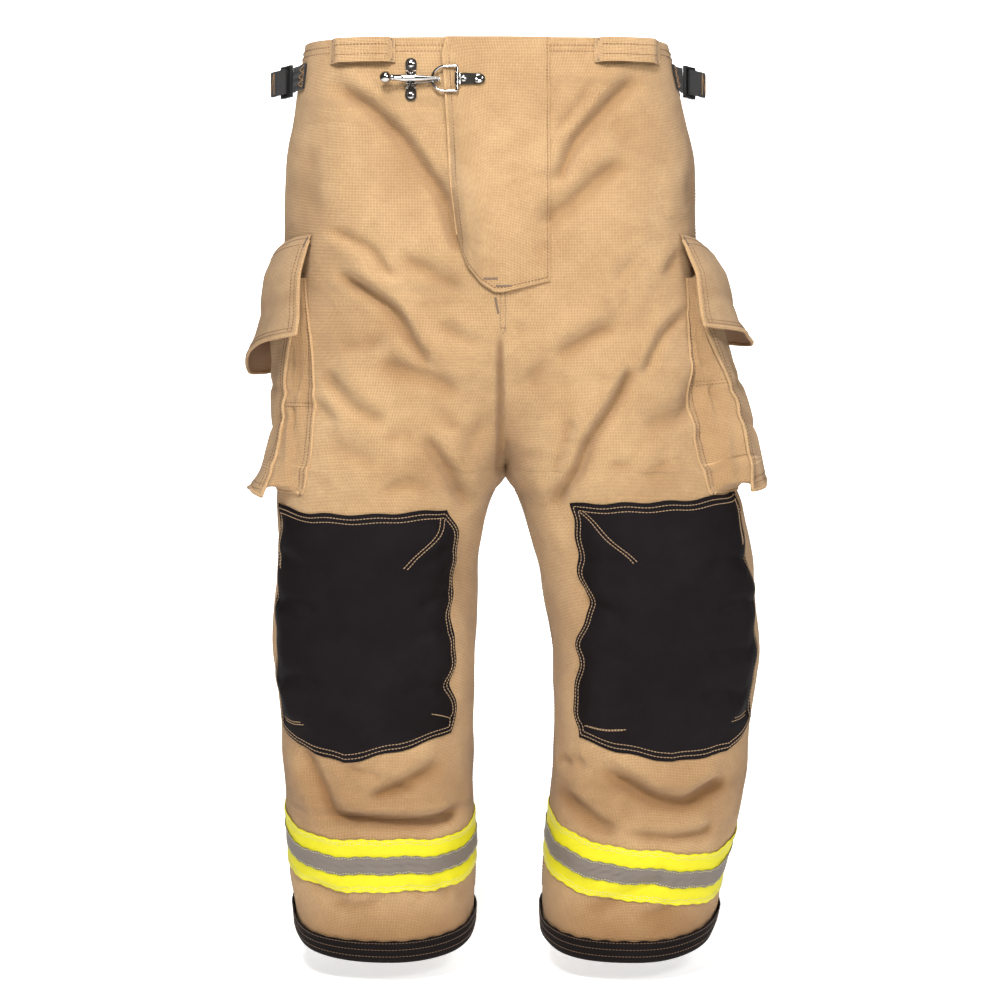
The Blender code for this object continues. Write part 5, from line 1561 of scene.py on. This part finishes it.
def tail_piece(side, corner, back_way, out_way):
    """The loose webbing end with a doubled, sewn pull tab, lying on the buckle."""
    name = f"{SIDE_NAMES[side]}_takeup_tail"
    # along, off the buckle, and extra thickness: single webbing, then the doubled tab
    stations = (
        (0.0040, 0.0052, 0.0), (0.0110, 0.0053, 0.0), (0.0200, 0.0055, 0.0), (0.0270, 0.0057, 0.0),
        (0.0325, 0.0060, 0.0), (0.0342, 0.0052, 0.0014), (0.0380, 0.0050, 0.0016),
        (0.0430, 0.0050, 0.0016), (0.0470, 0.0051, 0.0014), (0.0480, 0.0056, 0.0),
    )
    outer, inner = [], []
    back_way, out_way = np.array(back_way), np.array(out_way)
    for x, height, thick in stations:
        middle = np.array(corner) + back_way * x + out_way * height
        rows = np.linspace(WEB / 2, -WEB / 2, 10)
        low = middle[None] + np.array((0, 0, 1.0))[None] * rows[:, None]
        inner.append(low)
        outer.append(low + out_way * (WEB_THICK + thick))
    made = sheet_mesh(name, np.array(outer), np.array(inner), "webbing")
    finish_piece(made, name, [name])
    runs = []
    for x in (0.0355, 0.0462):
        line = np.linspace(-WEB / 2 + 0.002, WEB / 2 - 0.002, 16)
        centre = np.array(corner) + back_way * x + out_way * (0.0053 + WEB_THICK + 0.0016)
        points = centre[None] + np.array((0, 0, 1.0))[None] * line[:, None]
        runs.append(even_path(points, np.repeat(out_way[None], 16, 0), 0.0017))
    line = np.linspace(0, 1, 18)[:, None]
    start = np.array(corner) + back_way * 0.0355 + out_way * 0.0085 + np.array((0, 0, WEB / 2 - 0.002))
    end = np.array(corner) + back_way * 0.0462 + out_way * 0.0085 - np.array((0, 0, WEB / 2 - 0.002))
    runs.append(even_path(start + (end - start) * line, np.repeat(out_way[None], 18, 0), 0.0017))
    label = f"{SIDE_NAMES[side]}_tail_stitching"
    stitch_mesh(label, runs, "gold thread", length=0.0017, radius=0.0004, body=name)


# ---- hook and dee ----

HOOK_AT = Vector((-0.0868, -0.1311, -0.0420))
HOOK_YAW = math.radians(-1.1)
HOOK_TILT = math.radians(4.6)
PIVOT_OUT = 8.2
KNOB_RISE = 4.5
DEE_BAR_AT = 45.3
DEE_BAR_OUT = 7.3
DEE_WIRE = 1.35
DEE_ARC_AT = 20.8
DEE_ARC_OUT = 4.5
DEE_HALF_HEIGHT = 12.2
HOOK_SPACE = Matrix.Translation(HOOK_AT) @ Matrix.Rotation(HOOK_YAW, 4, "Z") @ Matrix.Rotation(-HOOK_TILT, 4, "X")


def at_hook(u, out, up):
    return HOOK_SPACE @ Vector((u * MM, -out * MM, up * MM))


def knob_bend(u):
    return KNOB_RISE * float(smoothstep((-u - 6.0) / 14.0))


def tube_faces(rings, sides, closed=False):
    faces = []
    pairs = range(rings if closed else rings - 1)
    for r in pairs:
        a, b = r * sides, ((r + 1) % rings) * sides
        for k in range(sides):
            n = (k + 1) % sides
            faces.append((a + k, a + n, b + n, b + k))
    if not closed:
        faces.append(tuple(range(sides - 1, -1, -1)))
        last = (rings - 1) * sides
        faces.append(tuple(range(last, last + sides)))
    return faces


def fix_outward(made):
    bm = bmesh.new()
    bm.from_mesh(made.data)
    bmesh.ops.recalc_face_normals(bm, faces=bm.faces)
    bm.to_mesh(made.data)
    bm.free()
    made.data.shade_smooth()
    made.data.set_sharp_from_angle(angle=math.radians(40))
    return made


def build_lever():
    ball = [(-24.0 - 5.9 * math.cos(a), 5.9 * math.sin(a)) for a in np.linspace(0.06, 2.45, 16)]
    neck = [
        (-18.9, 3.0), (-18.3, 2.7), (-17.9, 3.2), (-17.3, 3.4),
        (-16.5, 3.4), (-16.0, 3.1), (-15.3, 2.9),
    ]
    body = curve_through((
        (-15.0, 2.95), (-10.0, 3.45), (-5.0, 3.72), (2.0, 3.66), (10.0, 3.1),
        (17.0, 2.2), (21.5, 1.6), (25.5, 1.35), (27.2, 1.0), (27.9, 0.3),
    ), 40)
    profile = ball + neck + [tuple(p) for p in body]
    sides = 32
    verts = []
    for u, radius in profile:
        for k in range(sides):
            angle = math.tau * k / sides
            verts.append(at_hook(u, PIVOT_OUT + knob_bend(u) + radius * math.cos(angle), radius * math.sin(angle)))
    made = to_object("hook_lever", verts, tube_faces(len(profile), sides), "nickel")
    fix_outward(made)
    finish_piece(made, "hook_lever", ["hook_lever"])


def build_dee():
    reach = DEE_BAR_AT - DEE_ARC_AT
    half = DEE_HALF_HEIGHT
    corner = 1.6
    route = [(0.0, t) for t in np.linspace(-half + corner, half - corner, 16)]
    route += [(corner * (1 - math.cos(a)), half - corner + corner * math.sin(a)) for a in np.linspace(0.25, 1.57, 6)]
    straight = reach - half
    route += [(x, half) for x in np.linspace(corner + 1, straight - 1, 8)]
    for angle in np.linspace(math.pi / 2, -math.pi / 2, 40):
        route.append((straight + half * math.cos(angle), half * math.sin(angle)))
    route += [(x, -half) for x in np.linspace(straight - 1, corner + 1, 8)]
    route += [(corner * (1 - math.cos(a)), -half + corner - corner * math.sin(a)) for a in np.linspace(1.57, 0.25, 6)]
    points = [at_hook(DEE_BAR_AT - d, DEE_BAR_OUT + (DEE_ARC_OUT - DEE_BAR_OUT) * d / reach, up) for d, up in route]
    count = len(points)
    plane = (points[0] - points[count // 2]).cross(points[8] - points[0]).normalized()
    sides = 18
    verts = []
    for k, point in enumerate(points):
        ahead = (points[(k + 1) % count] - points[k - 1]).normalized()
        across = ahead.cross(plane).normalized()
        for n in range(sides):
            angle = math.tau * n / sides
            verts.append(point + (across * math.cos(angle) + plane * math.sin(angle)) * DEE_WIRE * MM)
    made = to_object("dee_ring", verts, tube_faces(count, sides, closed=True), "nickel")
    fix_outward(made)
    finish_piece(made, "dee", ["dee_ring"])


def build_rivet(name, u, base, up, head, hollow=False):
    profile = [(-1.4, 1.7), (0.1, 1.7), (0.1, head - 0.1), (0.25, head), (0.5, head)]
    if hollow:
        profile += [
            (0.9, head * 0.93), (1.15, head * 0.82), (1.2, head * 0.72), (1.1, head * 0.60),
            (0.9, head * 0.48), (0.8, head * 0.3), (0.75, 0.02),
        ]
    else:
        profile += [(0.5 + 1.4 * math.sin(a), head * math.cos(a)) for a in np.linspace(0.15, 1.56, 12)]
    sides = 28
    verts = []
    for out, radius in profile:
        for k in range(sides):
            a = math.tau * k / sides
            verts.append(at_hook(u + radius * math.cos(a), base + out, up + radius * math.sin(a)))
    made = to_object(name, verts, tube_faces(len(profile), sides), "nickel")
    fix_outward(made)
    finish_piece(made, BODY, [name])


def build_hardware():
    build_lever()
    build_dee()
    for label, up in (("upper", 15.5), ("lower", -15.5)):
        build_rivet(f"hook_rivet_{label}", 0.0, 1.5, up, 3.6)
    base = DEE_BAR_OUT - (DEE_WIRE + 0.12 + 1.3)
    build_rivet("dee_rivet_inner", DEE_BAR_AT + 6.2, base + 1.3, 0.0, 3.0)
    build_rivet("dee_rivet_outer", DEE_BAR_AT + 21.0, base + 1.3, 0.0, 4.4, hollow=True)
    for node, width in (("hook_plate", 0.0004), ("dee_plate", 0.0004), ("hook_pin", 0.0002), ("hook_spring", 0.0)):
        dress(node, width, "nickel")


# ---- studio ----


def build_studio():
    floor, wall, top = -0.935, 2.7, 3.4
    rows = [(-3.2, floor), (wall, floor)]
    for a in np.linspace(0.1, math.pi / 2, 14):
        rows.append((wall + math.sin(a), floor + (1 - math.cos(a))))
    rows.append((wall + 1.0, top))
    verts = [(x * (1.5 if y > wall else 2.0), y, z) for y, z in rows for x in (-1.0, 1.0)]
    faces = [(2 * k, 2 * k + 1, 2 * k + 3, 2 * k + 2) for k in range(len(rows) - 1)]
    mesh = bpy.data.meshes.new("studio_floor")
    mesh.from_pydata(verts, [], faces)
    mesh.shade_smooth()
    made = bpy.data.objects.new("studio_floor", mesh)
    paper, shader = new_material("studio paper", (0.93, 0.93, 0.92), 0.9)
    shader.inputs["Emission Color"].default_value = (1, 1, 1, 1)
    shader.inputs["Emission Strength"].default_value = 0.66
    n = Nodes(paper)
    grain = n.noise(40.0, 2.0)
    n.link(n.mix(grain, (0.92, 0.92, 0.915), (0.94, 0.94, 0.935)), shader.inputs["Base Color"])
    mesh.materials.append(paper)
    bpy.context.scene.collection.objects.link(made)
    world = bpy.data.worlds.new("studio")
    world.use_nodes = True
    world.node_tree.nodes["Background"].inputs[0].default_value = (1.0, 0.84, 0.68, 1)
    world.node_tree.nodes["Background"].inputs[1].default_value = 0.07
    bpy.context.scene.world = world
    for label, where, aim, size, power in (
        ("key", (-0.35, -1.75, 1.25), (0, 0, -0.28), 0.6, 58),
        ("fill", (1.05, -2.1, 0.75), (0, 0, -0.35), 0.6, 28),
        ("top", (0.0, -0.9, 1.6), (0, 0, -0.25), 0.7, 10),
        ("backdrop left", (-1.6, 1.6, 0.8), (-0.3, 3.6, -0.2), 0.9, 40),
        ("backdrop right", (1.6, 1.6, 0.8), (0.3, 3.6, -0.2), 0.9, 40),
    ):
        light = bpy.data.lights.new(label, "AREA")
        light.size = size
        light.energy = power
        holder = bpy.data.objects.new(label, light)
        holder.location = where
        holder.rotation_euler = (Vector(aim) - Vector(where)).to_track_quat("-Z", "Y").to_euler()
        bpy.context.scene.collection.objects.link(holder)
    camera = bpy.data.cameras.new("camera")
    camera.lens = 83.8
    camera.sensor_width = 36.0
    camera.shift_y = -0.17
    holder = bpy.data.objects.new("camera", camera)
    holder.location = (0, -2.4, -0.286)
    holder.rotation_euler = (math.radians(90), 0, 0)
    bpy.context.scene.collection.objects.link(holder)
    bpy.context.scene.camera = holder
    bpy.context.scene.view_settings.view_transform = "Standard"


def main():
    for side in (RIGHT, LEFT):
        build_panel(side, back=False)
        build_panel(side, back=True)
        build_lining(side)
        build_pocket(side)
        build_knee(side)
        build_trim(side)
        build_cuff(side)
        build_takeup(side)
    build_fly()
    for name, x, back in (
        ("right_front_suspender_loop", -134, False),
        ("left_front_suspender_loop", 124, False),
        ("right_rear_suspender_loop", -75, True),
        ("left_rear_suspender_loop", 65, True),
    ):
        build_loop(name, x, back)
    build_waist_stitching()
    build_seam_stitching()
    build_hardware()
    build_studio()


main()
